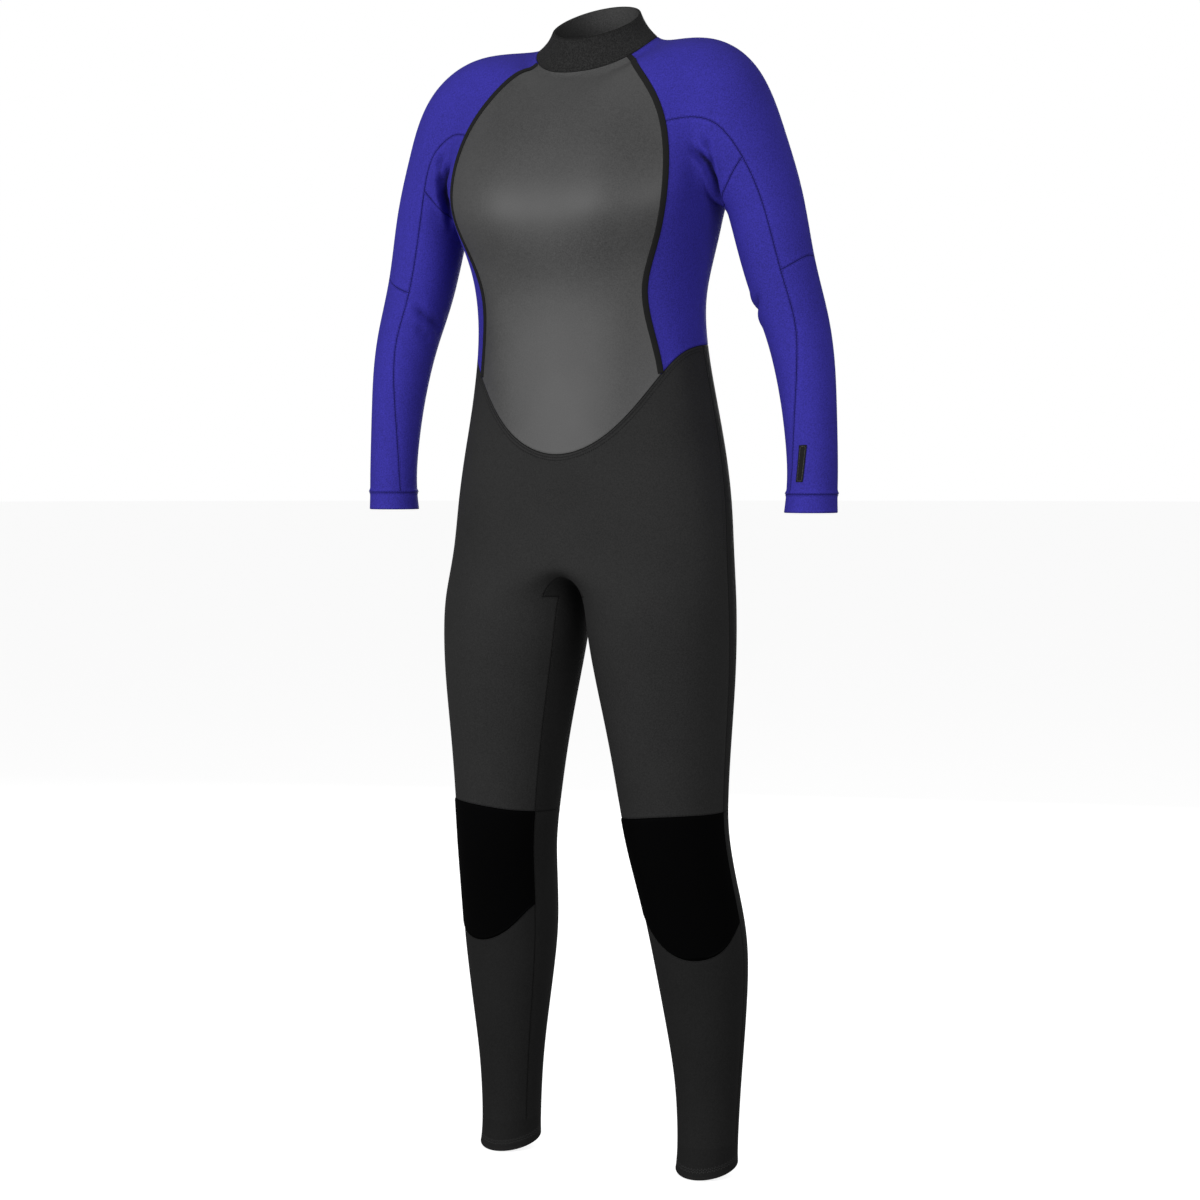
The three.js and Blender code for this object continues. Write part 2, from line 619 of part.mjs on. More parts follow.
// ---- piping over the chest panel's side seams ----
function pipe(side) {
  const run = [];
  const stop = COLLAR_SEAM;
  for (let row = WAIST; row < stop; row++) {
    const inner = quads.find((q) => q.part === "trunk" && q.side === side && q.row === row && q.col === 3);
    const outer = quads.find((q) => q.part === "trunk" && q.side === side && q.row === row && q.col === 4);
    const common = inner.v.filter((i) => outer.v.includes(i));
    common.sort((a, b) => surface[a][2] - surface[b][2]);
    const step = (q, v) => {
      const at = q.v.indexOf(v);
      const other = [q.v[(at + 1) % 4], q.v[(at + 3) % 4]].find((i) => !common.includes(i));
      return unit(sub(surface[other], surface[v]));
    };
    const cut = (v) => ({ v, to: step(inner, v), from: step(outer, v) });
    if (!run.length) run.push(cut(common[0]));
    run.push(cut(common[1]));
  }
  const positions = [];
  run.forEach(({ v, to, from }, i) => {
    const end = i === 0 ? 1 : i === run.length - 1 ? -1 : 0;
    const along = unit(sub(surface[run[Math.min(i + 1, run.length - 1)].v], surface[run[Math.max(i - 1, 0)].v]));
    const base = add(surface[v], along, end * 1.2);
    const half = TRIM_WIDTH / 2;
    const n = normals[v];
    for (const [lift, w] of [[SEAM_GAP + 0.1, half], [SEAM_GAP + TRIM_RISE, half - 0.8]]) {
      positions.push(add(add(base, to, w), n, lift), add(base, n, lift), add(add(base, from, w), n, lift));
    }
  });
  const triangles = [];
  const ring = [0, 1, 2, 5, 4, 3];
  const quad = (a, b, c, d) => triangles.push([a, b, c], [a, c, d]);
  for (let i = 0; i + 1 < run.length; i++)
    ring.forEach((a, k) => {
      const b = ring[(k + 1) % 6];
      quad(6 * i + a, 6 * i + b, 6 * i + 6 + b, 6 * i + 6 + a);
    });
  const cap = (o, flip) => {
    for (const t of [[0, 3, 4], [0, 4, 1], [1, 4, 5], [1, 5, 2]])
      triangles.push(t.map((i) => o + i)[flip ? "reverse" : "slice"]());
  };
  cap(0, false);
  cap(6 * (run.length - 1), true);
  if (side > 0) triangles.forEach((t) => t.reverse());
  addMesh("chest_trim" + (side > 0 ? "_left" : "_right"), positions, triangles, JET);
}
pipe(1);
pipe(-1);

// ---- zip hardware, in a frame set on the zip line: x across, y out of the back, z up the zip ----
const centreAt = (row) => {
  const q = quads.find((f) => trunkAt(f, row, row + 1, 15, 16));
  return q.v.map((i) => surface[i]).filter((p) => Math.abs(p[0]) < 1e-6).sort((a, b) => a[2] - b[2])[0];
};
const foot = centreAt(ZIP_FOOT);
const head = centreAt(ZIP_HEAD);
const zipUp = unit(sub(head, foot));
const zipOut = unit([0, zipUp[2], -zipUp[1]]);
const zipLength = Math.hypot(...sub(head, foot));
const onBack = ([x, out, along]) => add(add(add(foot, [x, 0, 0]), zipOut, out), zipUp, along);

// a closed outline in two axes pushed through the third
function extrude(outline, axis, from, to) {
  const shape = new THREE.Shape(outline.map(([a, b]) => new THREE.Vector2(a, b)));
  const geometry = new THREE.ExtrudeGeometry(shape, { depth: to - from, bevelEnabled: false });
  const p = geometry.attributes.position;
  for (let i = 0; i < p.count; i++) {
    const [a, b, c] = [p.getX(i), p.getY(i), p.getZ(i) + from];
    const at = axis === "z" ? [a, b, c] : axis === "y" ? [a, -c, b] : [c, a, b];
    p.setXYZ(i, ...at);
  }
  const merged = mergeVertices(
    new THREE.BufferGeometry().setAttribute("position", p.clone()), 1e-4);
  return { positions: merged.attributes.position.array, triangles: merged.index.array };
}

const wasm = await Module();
wasm.setup();
const solidOf = ({ positions, triangles }) =>
  new wasm.Manifold(new wasm.Mesh({
    numProp: 3, vertProperties: new Float32Array(positions), triVerts: new Uint32Array(triangles),
  }));

function hardware(name, solid, colour, metalness) {
  const mesh = solid.getMesh();
  const positions = [];
  for (let i = 0; i < mesh.vertProperties.length; i += 3)
    positions.push(onBack([...mesh.vertProperties.slice(i, i + 3)]));
  const triangles = [];
  for (let i = 0; i < mesh.triVerts.length; i += 3)
    triangles.push([...mesh.triVerts.slice(i, i + 3)]);
  addMesh(name, positions, triangles, colour, 0.45, metalness);
}

const rectangle = (x0, y0, x1, y1) => [[x0, y0], [x1, y0], [x1, y1], [x0, y1]];
const ZIP_MARGIN = 3;
for (const side of [1, -1]) {
  const outline = [[side * TEETH_TO, ZIP_MARGIN]];
  const count = Math.floor((zipLength - 2 * ZIP_MARGIN - 2) / TOOTH_PITCH);
  const root = TEETH_TO - 1.1;
  for (let i = 0; i < count; i++) {
    const z = ZIP_MARGIN + i * TOOTH_PITCH;
    const rise = TOOTH_PITCH / 2;
    outline.push([side * TEETH_FROM, z], [side * TEETH_FROM, z + rise]);
    outline.push([side * root, z + rise], [side * root, z + TOOTH_PITCH]);
  }
  outline.push([side * TEETH_TO, ZIP_MARGIN + count * TOOTH_PITCH]);
  const teeth = solidOf(extrude(outline, "y", -0.8, 3.0));
  hardware("zip_teeth" + (side > 0 ? "_left" : "_right"), teeth, 0x151515, 0);
}

const sliderAt = zipLength - ZIP_MARGIN - SLIDER_LENGTH - 5;
const plate = (half, y0, y1, z0, z1) =>
  solidOf(extrude([[-half * 0.7, z0], [half * 0.7, z0], [half, z0 + 4], [half, z1 - 4], [half * 0.8, z1],
    [-half * 0.8, z1], [-half, z1 - 4], [-half, z0 + 4]], "y", -y1, -y0));
const box = (x0, x1, y0, y1, z0, z1) => solidOf(extrude(rectangle(x0, z0, x1, z1), "y", -y1, -y0));
const top = sliderAt + SLIDER_LENGTH;
const bridge = solidOf(extrude(
  [[1.5, sliderAt + 2], [5.2, sliderAt + 4], [5.2, top - 4], [1.5, top - 2],
    [1.5, top - 4], [3.9, top - 5.2], [3.9, sliderAt + 5.2], [1.5, sliderAt + 4]], "x", -1.2, 1.2));
const slider = wasm.Manifold.union([
  plate(SLIDER_HALF_WIDTH, 1.3, 2.5, sliderAt, top),
  plate(SLIDER_HALF_WIDTH - 1, -4.7, -3.5, sliderAt, top),
  box(-0.5, 0.5, -3.6, 1.4, top - 6, top - 1),
  bridge,
]);
hardware("zip_slider", slider, 0x8c8c90, 0.9);

// zip pull: its upper bar passes through the bridge of the slider
const pinAt = sliderAt + 5.9;
const TAB_HALF = 3.4;
const tabBottom = pinAt + 0.5 - TAB_LENGTH;
const tab = wasm.Manifold.difference(
  box(-TAB_HALF, TAB_HALF, 2.8, 3.6, tabBottom, pinAt + 0.6),
  wasm.Manifold.union([
    box(-1.9, 1.9, 2.0, 4.4, sliderAt - 1.6, pinAt - 0.5),
    box(-2.0, 2.0, 2.0, 4.4, tabBottom + 3, tabBottom + 15),
  ]),
);
hardware("zip_pull", tab, 0x8c8c90, 0.9);

hardware("zip_bottom_stop",
  box(-TEETH_TO, TEETH_TO, -2.6, 0.6, 0.3, ZIP_MARGIN - 0.4), 0x8c8c90, 0.9);

// ---- the frame: centre of the suit's box at the lowest point of the hems ----
const bounds = new THREE.Box3();
for (const mesh of group.children) {
  mesh.geometry.computeBoundingBox();
  bounds.union(mesh.geometry.boundingBox);
}
for (const mesh of group.children)
  mesh.geometry.translate(0, -(bounds.min.y + bounds.max.y) / 2, -bounds.min.z);

export default group;
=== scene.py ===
# Full wetsuit with a back zip: neoprene panels on one smooth body surface.
# The tables are in millimetres, and every object is made in metres in the CAD frame.
import math

import bmesh
import bpy
import numpy as np
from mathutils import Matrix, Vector


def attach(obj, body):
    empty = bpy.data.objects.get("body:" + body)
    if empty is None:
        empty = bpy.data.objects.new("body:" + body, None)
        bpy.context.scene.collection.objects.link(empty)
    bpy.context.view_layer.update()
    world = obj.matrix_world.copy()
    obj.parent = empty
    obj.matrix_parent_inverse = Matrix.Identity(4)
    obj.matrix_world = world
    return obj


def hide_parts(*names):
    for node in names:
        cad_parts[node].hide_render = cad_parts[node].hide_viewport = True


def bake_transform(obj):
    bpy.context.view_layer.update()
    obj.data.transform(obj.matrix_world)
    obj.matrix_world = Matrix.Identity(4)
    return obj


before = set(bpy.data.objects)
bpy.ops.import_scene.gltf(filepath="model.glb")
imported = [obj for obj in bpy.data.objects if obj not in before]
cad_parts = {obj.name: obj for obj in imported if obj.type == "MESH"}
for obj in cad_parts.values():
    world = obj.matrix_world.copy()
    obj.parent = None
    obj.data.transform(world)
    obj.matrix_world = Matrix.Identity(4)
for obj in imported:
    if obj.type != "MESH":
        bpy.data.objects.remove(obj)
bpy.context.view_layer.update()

# ---- sizes in millimetres, as in the part's source ----
NEOPRENE = 3.0
PAD_PROUD = 1.2
TRIM_WIDTH = 7.0
TRIM_RISE = 1.1
ZIP_HALF = 14.15  # from the middle of the zip to the edge of a back panel
TEETH_TO = 3.2  # how far the teeth reach from the middle of the zip, as in the CAD
SHIFT = np.array([0.0, 2.6276, 5.6])  # from the sections' frame to the CAD frame

# trunk: height, half width, front, back, centre, squareness, chest seam half width
TRUNK = np.array([
    [690, 178, -88, 108, 0, 0.92, 100],
    [720, 178, -86, 112, 0, 0.92, 104],
    [775, 175, -84, 113, 5, 0.9, 112],
    [830, 168, -83, 110, 10, 0.9, 118],
    [885, 156, -82, 103, 14, 0.88, 123],
    [940, 143, -79, 99, 15, 0.86, 124],
    [990, 137, -81, 96, 6, 0.85, 107],
    [1025, 138, -85, 95, 3, 0.84, 97],
    [1055, 142, -92, 97, 4, 0.78, 100],
    [1082, 148, -103, 100, 6, 0.7, 125],
    [1105, 151, -111, 101, 7, 0.64, 138],
    [1130, 152, -115, 100, 7, 0.62, 145],
    [1165, 153, -110, 97, 7, 0.64, 147],
])
# height of each row of the trunk at columns 0 (front) to 4 (side), then round the back
ROWS = [
    [716, 722, 728, 732, 734, 734, 731, 724, 716],
    [752, 760, 776, 786, 790, 790, 788, 784, 782],
    [784, 800, 832, 846, 850, 850, 850, 850, 850],
    [798, 828, 888, 907, 912, 912, 912, 912, 912],
    [826, 860, 946, 966, 972, 974, 974, 974, 974],
    [896, 925, 992, 1014, 1022, 1024, 1026, 1028, 1028],
    [975, 992, 1038, 1056, 1062, 1064, 1070, 1076, 1076],
    [1044, 1055, 1085, 1097, 1100, 1104, 1114, 1124, 1124],
]
# the four rows that pass the armhole; column 4 is open in the middle two
YOKE = [
    [[0, -117, 1110], [70, -134, 1112], [154, -87, 1130], [152, -46, 1138], [163, 8, 1134],
     [156, 62, 1138], [112, 92, 1154], [26, 0, 1172], [0, 0, 1172]],
    [[0, -105, 1170], [66, -116, 1172], [150, -71, 1192], [157, -50, 1196], None,
     [159, 68, 1190], [112, 94, 1204], [26, 0, 1218], [0, 0, 1218]],
    [[0, -88, 1222], [58, -90, 1226], [123, -52, 1246], [156, -46, 1250], None,
     [158, 66, 1250], [110, 92, 1256], [26, 0, 1260], [0, 0, 1260]],
    [[0, -62, 1258], [46, -62, 1264], [69, -38, 1290], [134, -26, 1314], [162, 14, 1329],
     [148, 52, 1319], [108, 78, 1310], [26, 0, 1298], [0, 0, 1298]],
]
# angle of each column round the collar
COLLAR_TURN = [0, 28, 56, 76, 93, 112.5, 135, 157.5, 180]
# collar: height at its centre, half width, half depth, centre, rise front to back per mm, lift at the sides
COLLAR = [
    [1301, 84, 66, 20, 0.42, 20],
    [1309, 74, 62, 20, 0.45, 15],
    [1331, 58, 56, 20, 0.5, 6],
    [1350, 51.5, 51, 20, 0.53, 0],
]
# the zip's line in side view: y at the height given last, and its change per mm of height
ZIP_LINE = [98, -0.03, 885]
ZIP_COLUMN = 26  # half width of the cage's column beside the zip
BELOW_ZIP = [60, 38]  # and on the two rows under it, where it spreads
# sleeve: centre, radius outwards, radius front to back, direction in XZ, twist in degrees,
# twist that differs between the arms, droop at the front and back
ARM = [
    [187, 8, 1207, 84, 60, 0.954, -0.3, 0, 5, 0],
    [207, 10, 1168, 53, 52, 0.8, -0.6, 0, 12, 0],
    [222, 12, 1120, 45.5, 46.5, 0.45, -0.89, -2, 17, 0],
    [236, 14, 1060, 40, 42, 0.33, -0.944, -8, 18, 26],
    [257, 15, 994, 37.5, 39.5, 0.24, -0.97, -8, 16, 6],
    [268, 14, 940, 34.5, 36.5, 0.12, -0.99, 5, 12, 0],
    [274.5, 13, 880, 30.5, 31.5, 0.05, -1, 25, 9, 0],
    [278, 12, 827, 28.5, 29, 0.02, -1, 40, 7, 0],
    [277, 11, 797, 28.8, 29.3, 0, -1, 44, 6, 0],
    [276, 11, 778, 30.3, 30.8, 0, -1, 46, 6, 0],
]
# leg: height, centre across, centre front to back, half width, front, back
LEG = np.array([
    [700, 92, -3, 88, 88, 102],
    [640, 96, -4, 87, 87, 94],
    [599, 99.6, -4, 84, 84, 88],
    [541, 105, -2, 75, 77, 78],
    [485, 107.5, 0, 67.5, 69, 69],
    [430, 110, 0, 62.5, 64, 63],
    [372, 116, 9, 59.5, 60, 59],
    [311, 123, 28, 58.5, 59, 61],
    [254, 128, 40, 57, 56, 61],
    [197, 131, 44, 51, 49, 54],
    [140, 132.5, 47, 43, 42, 44],
    [83, 134, 51, 36.5, 36, 37],
    [50, 133, 52, 34, 36, 35],
    [20, 133, 50, 35, 40, 36],
    [3, 133, 48, 36.5, 43, 37],
])[::-1]
# top and bottom edge of the knee pad round the leg from column 0
PAD_TOP = [419, 427, 430, 429, 426, 426, 426, 424, 418, 412, 410, 412]
LEG_ROWS = [682, 636, 580, 502, PAD_TOP]
PAD_BOTTOM = [272, 250, 250, 266, 306, 312, 300, 292, 292, 300, 312, 316]
LOWER_ROWS = [236, 172, 100, 23, 3]
BELOW_PAD = 0.72  # the row under the pad lies this share of the way down to the first of those heights
HEM_TILT = 0.2
CROTCH = [[0, 42, 699], [0, -6, 698], [0, -50, 708]]


# ---- the control cage ----
def shrink(n):
    """The radius of a round ring, as a share of the radius of its cage of n points."""
    return (2 + math.cos(2 * math.pi / n)) / 3


def section(table, z):
    return [z] + [float(np.interp(z, table[:, 0], table[:, k])) for k in range(1, table.shape[1])]


def trunk_row(heights):
    s, row = shrink(16), []
    for k, z in enumerate(heights):
        _, half, front, back, centre, square, seam = section(TRUNK, z)
        edge = math.asin((seam / half) ** (1 / square))
        turn = [0, edge / 2, edge, (edge + math.pi / 2) / 2, math.pi / 2]
        phi = turn[k] if k < 5 else math.pi * k / 8
        c = math.cos(phi)
        reach = abs(c) ** square / s
        x = 0 if k in (0, 8) else half / s * math.sin(phi) ** square
        row.append([x, centre + ((front if c > 0 else back) - centre) * reach, z])
    return row


def zip_y(z):
    return ZIP_LINE[0] + ZIP_LINE[1] * (z - ZIP_LINE[2])


def on_zip(row):
    """The row with its last two columns laid along the zip."""
    out = list(row)
    for k, x, proud in ((7, ZIP_COLUMN, -2), (8, 0, 1)):
        out[k] = [x, zip_y(row[k][2]) + proud, row[k][2]]
    return out


def collar_row(z, rx, ry, cy, rise, lift):
    s, row = shrink(16), []
    for k in range(9):
        phi = math.radians(COLLAR_TURN[k])
        y = cy - ry / s * math.cos(phi)
        up = z + rise * (y - cy) + lift * math.sin(phi) ** 4
        row.append([0 if k in (0, 8) else rx / s * math.sin(phi), y, up])
    return row


def arm_row(side, cx, cy, cz, out, deep, dx, dz, twist, turn, droop):
    s, n, row = shrink(10), math.hypot(dx, dz), []
    for j in range(10):
        t = 2 * math.pi * j / 10 - math.radians(twist - side * turn)
        o, b = math.cos(t) * out / s, math.sin(t) * deep / s
        row.append([cx - dz / n * o, cy + b, cz + dx / n * o - droop * abs(math.sin(t))])
    return row


def leg_row(heights):
    s, row = shrink(12), []
    hem = heights == LOWER_ROWS[-1]
    for j in range(12):
        z = heights[j] if isinstance(heights, list) else heights
        _, cx, cy, half, front, back = section(LEG, z)
        a = (j - 4) * math.pi / 6
        y = cy + (front if math.sin(a) < 0 else back) / s * math.sin(a)
        row.append([cx + half / s * math.cos(a), y, z + (HEM_TILT * (y - cy) if hem else 0)])
    return row


def cage():
    points, index, quads, tags, at = [], {}, [], [], []

    def point(p):
        key = tuple(round(c, 3) + 0.0 for c in p)
        if key not in index:
            index[key] = len(points)
            points.append([float(c) for c in p])
        return index[key]

    def quad(corners, part, row, col, order):
        for side in (1, -1):
            four = corners(side) if callable(corners) else corners
            ids = [point((x * side, y, z)) for x, y, z in four]
            where = [(row + r, col + c) for r, c in order]
            if side < 0:
                ids.reverse()
                where.reverse()
            quads.append(ids)
            at.append(where)
            tags.append((part, side))

    trunk = [trunk_row(r) for r in ROWS]
    for r in range(2, len(trunk)):
        trunk[r] = on_zip(trunk[r])
    trunk[1][7][0], trunk[2][7][0] = BELOW_ZIP
    collar = [collar_row(*r) for r in COLLAR]
    collar[0] = on_zip(collar[0])
    rows = [*trunk, *(on_zip(r) for r in YOKE), *collar]
    for r in range(2, len(rows) - 3):
        rows[r][7][0] = ZIP_COLUMN
    armpit = len(ROWS)
    for r in range(len(rows) - 1):
        for k in range(8):
            if armpit <= r < armpit + 3 and k in (3, 4):
                continue
            lo, hi = rows[r], rows[r + 1]
            quad([lo[k], lo[k + 1], hi[k + 1], hi[k]], 0, r, k, [(0, 0), (0, 1), (1, 1), (1, 0)])
    ra, rb, rc, rd = rows[armpit:armpit + 4]
    hole = [rd[4], rd[5], rc[5], rb[5], ra[5], ra[4], ra[3], rb[3], rc[3], rd[3]]

    def limb(rings_of, part):
        both = {side: rings_of(side) for side in (1, -1)}
        for r in range(len(both[1]) - 1):
            n = len(both[1][r])
            for j in range(n):
                m = (j + 1) % n

                def four(side, r=r, j=j, m=m):
                    up, down = both[side][r], both[side][r + 1]
                    return [up[j], down[j], down[m], up[m]]

                quad(four, part, r, j, [(0, 0), (1, 0), (1, 1), (0, 1)])

    limb(lambda side: [hole, *(arm_row(side, *r) for r in ARM)], 1)
    knee = [[t + (z - t) * i / 3 for t, z in zip(PAD_TOP, PAD_BOTTOM)] for i in (1, 2, 3)]
    below = [z + (LOWER_ROWS[0] - z) * BELOW_PAD for z in PAD_BOTTOM]
    legs = [leg_row(r) for r in [*LEG_ROWS, *knee, below, *LOWER_ROWS[1:]]]
    limb(lambda side: [[*rows[0], *CROTCH], *legs], 2)
    return (np.array(points), np.array(quads), np.array(at, float), np.array(tags))


# ---- Catmull-Clark subdivision, keeping each corner's row and column ----
def total(ids, values, n):
    values = np.broadcast_to(values, (len(ids), 3))
    return np.stack([np.bincount(ids, values[:, k], n) for k in range(3)], 1)


def edges_of(quads, n):
    a, b = quads, np.roll(quads, -1, 1)
    key = (np.minimum(a, b) * n + np.maximum(a, b)).ravel()
    unique, inverse, count = np.unique(key, return_inverse=True, return_counts=True)
    return np.stack([unique // n, unique % n], 1), inverse.reshape(quads.shape), count


def split(p, quads, at, tags):
    n = len(p)
    ends, edge, count = edges_of(quads, n)
    centre = p[quads].mean(1)
    mid = p[ends].mean(1)
    rim = count == 1
    faces = total(edge.ravel(), np.repeat(centre, 4, 0), len(ends))
    edge_points = np.where(rim[:, None], mid, mid / 2 + faces / 4)
    flat = ends.ravel()
    valence = np.bincount(flat, minlength=n)[:, None]
    face_sum = total(quads.ravel(), np.repeat(centre, 4, 0), n)
    face_count = np.bincount(quads.ravel(), minlength=n)[:, None]
    mid_sum = total(flat, np.repeat(mid, 2, 0), n)
    inner = (face_sum / face_count + 2 * mid_sum / valence + (valence - 3) * p) / valence
    open_ends = ends[rim]
    near = total(open_ends.ravel(), p[open_ends[:, ::-1]].reshape(-1, 3), n)
    on_rim = np.bincount(open_ends.ravel(), minlength=n) > 0
    old = np.where(on_rim[:, None], 0.75 * p + 0.125 * near, inner)
    points = np.concatenate([old, edge_points, centre])
    middle = at.mean(1)
    new, where = [], []
    centre_id = n + len(ends) + np.arange(len(quads))
    for k in range(4):
        e1, e0 = edge[:, k], edge[:, (k + 3) % 4]
        new.append(np.stack([quads[:, k], n + e1, centre_id, n + e0], 1))
        here, ahead, behind = at[:, k], at[:, (k + 1) % 4], at[:, (k + 3) % 4]
        where.append(np.stack([here, (here + ahead) / 2, middle, (here + behind) / 2], 1))
    return points, np.concatenate(new), np.concatenate(where), np.tile(tags, (4, 1))


def to_limit(p, quads):
    n = len(p)
    ends, _, count = edges_of(quads, n)
    valence = np.bincount(ends.ravel(), minlength=n)[:, None]
    near = total(ends.ravel(), p[ends[:, ::-1]].reshape(-1, 3), n)
    across = total(quads.ravel(), p[np.roll(quads, -2, 1)].reshape(-1, 3), n)
    rim = ends[count == 1]
    rim_near = total(rim.ravel(), p[rim[:, ::-1]].reshape(-1, 3), n)
    on_rim = np.bincount(rim.ravel(), minlength=n) > 0
    inner = (valence**2 * p + 4 * near + across) / (valence * (valence + 5))
    return np.where(on_rim[:, None], (4 * p + rim_near) / 6, inner), on_rim


SPLITS = 4
surface, quads, at, tags = cage()
for _ in range(SPLITS):
    surface, quads, at, tags = split(surface, quads, at, tags)
surface, on_rim = to_limit(surface, quads)
half_step = np.floor(2 * at.mean(1) + 1e-6).astype(int)
part, side = tags[:, 0], tags[:, 1]

# rows of the trunk, in half steps
WAIST, ZIP_FOOT, ARMPIT = 8, 6, 2 * len(ROWS)
SLEEVE_SEAM, ZIP_HEAD = ARMPIT + 3, ARMPIT + 6
COLLAR_SEAM = ZIP_HEAD + 4
PAD_ROW = 2 * len(LEG_ROWS)
HEM_ROW = PAD_ROW + 6 + 2 * (len(LOWER_ROWS) - 1)
CUFF_ROW = 18
CUFF_RIDGE, CUFF_RIDGE_WIDTH = 1.5, 2.2  # the turned hem's edge stands up along its seam
CUFF_PITCH = 24  # mm of sleeve to a row of the cage at the cuff


def smooth(t):
    t = np.clip(t, 0, 1)
    return t * t * (3 - 2 * t)


def normals_of(p):
    a, b, c, d = (p[quads[:, k]] for k in range(4))
    n = np.cross(c - a, d - b)
    out = total(quads.ravel(), np.repeat(n, 4, 0), len(p))
    return out / np.linalg.norm(out, axis=1, keepdims=True)


# ---- folds: lines pressed into the surface, with the fabric swelling beside them and shade painted in them ----
# points (x, y, z) on the left of the body, depth, half width, and the sides that have it
ARMPIT_CREASE = [(152, -57, 1192), (164, -49, 1180), (172, -44, 1168), (176, -36, 1152), (176, -21, 1134),
                 (182, -6, 1108)]
FOLDS = [
    (ARMPIT_CREASE, 9.0, 4.4, (1, -1)),
    ([(166, -51, 1204), (173, -49, 1190), (177, -46, 1172), (179, -38, 1156)], 4.2, 3.6, (1, -1)),
    ([(228, -26, 1026), (219, -15, 1014), (213, 4, 1004), (216, 24, 996)], 4.0, 5.5, (1, -1)),
    ([(226, -20, 1002), (220, -8, 990), (217, 10, 982)], 2.4, 5.0, (-1,)),
]
DEEPEST = max(depth for _, depth, _, _ in FOLDS)
FOLD_REACH = 110  # a fold leaves alone what lies farther than this from its middle
SWELL, SWELL_AT = 0.35, 2.1  # the swelling beside a fold, in shares of its depth and half width


def press(p, normal):
    """The surface with the folds pressed in, and the shade painted at each point, darkest deep in a fold's
    middle.
    """
    out, shade = p.copy(), np.zeros(len(p))
    for line, depth, width, hands in FOLDS:
        for x in hands:
            knots = np.array(line, float) * [x, 1, 1]
            near = np.nonzero(np.linalg.norm(p - knots.mean(0), axis=1) < FOLD_REACH)[0]
            gap, place = np.full(len(near), 1e9), np.zeros(len(near))
            for i, (a, b) in enumerate(zip(knots, knots[1:])):
                t = np.clip((p[near] - a) @ (b - a) / ((b - a) @ (b - a)), 0, 1)
                g = np.linalg.norm(p[near] - a - t[:, None] * (b - a), axis=1)
                place = np.where(g < gap, (i + t) / (len(knots) - 1), place)
                gap = np.minimum(gap, g)
            fade = smooth(place * 3) * smooth((1 - place) * 3)
            across = gap / width
            wave = SWELL * np.exp(-((across - SWELL_AT) ** 2)) - np.exp(-(across**2))
            out[near] += normal[near] * (depth * fade * wave)[:, None]
            # painted shade, darkest on the middle line of the deepest folds
            dark = fade * depth / DEEPEST * np.exp(-((across * 1.5) ** 2))
            shade[near] = np.maximum(shade[near], dark)
    return out, shade


# the back panels stop square at the zip
trunk_ids = quads[part == 0].ravel()
row_of, col_of = np.full(len(surface), -1.0), np.full(len(surface), -1.0)
row_of[trunk_ids], col_of[trunk_ids] = at[part == 0][..., 0].ravel(), at[part == 0][..., 1].ravel()
by_zip = (row_of >= ZIP_FOOT / 2) & (row_of <= ZIP_HEAD / 2) & (col_of > 7)
for r in np.unique(row_of[by_zip]):
    here = by_zip & (row_of == r)
    edge_x = np.abs(surface[here & (col_of == 7.5), 0]).mean()
    share = np.clip((col_of[here] - 7) * 2, 0, 1)
    surface[here, 0] *= 1 + (ZIP_HALF / edge_x - 1) * share

normals = normals_of(surface)
# the shade painted into the folds comes back with the pressed surface
surface, crease = press(surface, normals)
sleeve = quads[part == 1].ravel()
along_sleeve = np.zeros(len(surface))
along_sleeve[sleeve] = at[part == 1][..., 0].ravel()
from_crest = 1.0 + (along_sleeve - CUFF_ROW / 2) * CUFF_PITCH  # the ridge's crest is 1 mm above the seam
surface += normals * (CUFF_RIDGE * np.exp(-((from_crest / CUFF_RIDGE_WIDTH) ** 2)))[:, None]
normals = normals_of(surface)
# at an open edge the panel's cut face lies square in the plane of the hem
for which, plane in ((1, [0, 0, 1]), (2, [0, -HEM_TILT, 1]), (0, [0, -COLLAR[3][4], 1])):
    ids = np.unique(quads[part == which])
    ids = ids[on_rim[ids]]
    flat = np.array(plane) / np.linalg.norm(plane)
    n = normals[ids] - (normals[ids] @ flat)[:, None] * flat
    normals[ids] = n / np.linalg.norm(n, axis=1, keepdims=True)


# ---- panels ----
def label_of(part, row, col, hand):
    if part == 0:
        if row >= COLLAR_SEAM:
            return "neck_collar"
        if row < WAIST and col < 8:
            return "pelvis_front" + hand
        if row < ZIP_FOOT or (row < WAIST and col < 12):
            return "lower_back" + hand
        if col == 15 and row < ZIP_HEAD:
            return "zip_tape" + hand
        if col >= 12:
            return "upper_back" + hand
        if col < 4:
            return "chest_panel"
        if row < ARMPIT:
            return "side_panel" + hand
        return ("underarm_panel" if row < SLEEVE_SEAM else "shoulder_panel") + hand
    if part == 1:
        outer = col >= 15 or col < 5
        if row < 4:
            return ("shoulder_panel" if outer else "underarm_panel") + hand
        if row >= CUFF_ROW:
            return "cuff" + hand
        zone = "upper_sleeve" if row < 8 else "elbow" if row < 12 else "forearm"
        return zone + ("_outer" if outer else "_inner") + hand
    front = col < 8 or col > 21
    if row < 2 and 16 < col < 23:
        return "crotch_gusset"
    if row < 6:
        return ("hip_front" if front else "hip_back") + hand
    if row < PAD_ROW:
        return ("thigh_front" if front else "thigh_back") + hand
    if row < PAD_ROW + 6:
        return ("knee_pad" if col < 8 or col > 21 else "knee_back") + hand
    if row >= HEM_ROW:
        return "ankle_hem" + hand
    return ("shin_front" if front else "calf_back") + hand


keys, key_of = np.unique(np.column_stack([part, side, half_step]), axis=0, return_inverse=True)
names = [label_of(p, r, c, "_left" if s > 0 else "_right") for p, s, r, c in keys]
label_names = sorted(set(names))
label = np.array([label_names.index(n) for n in names])[key_of.ravel()]


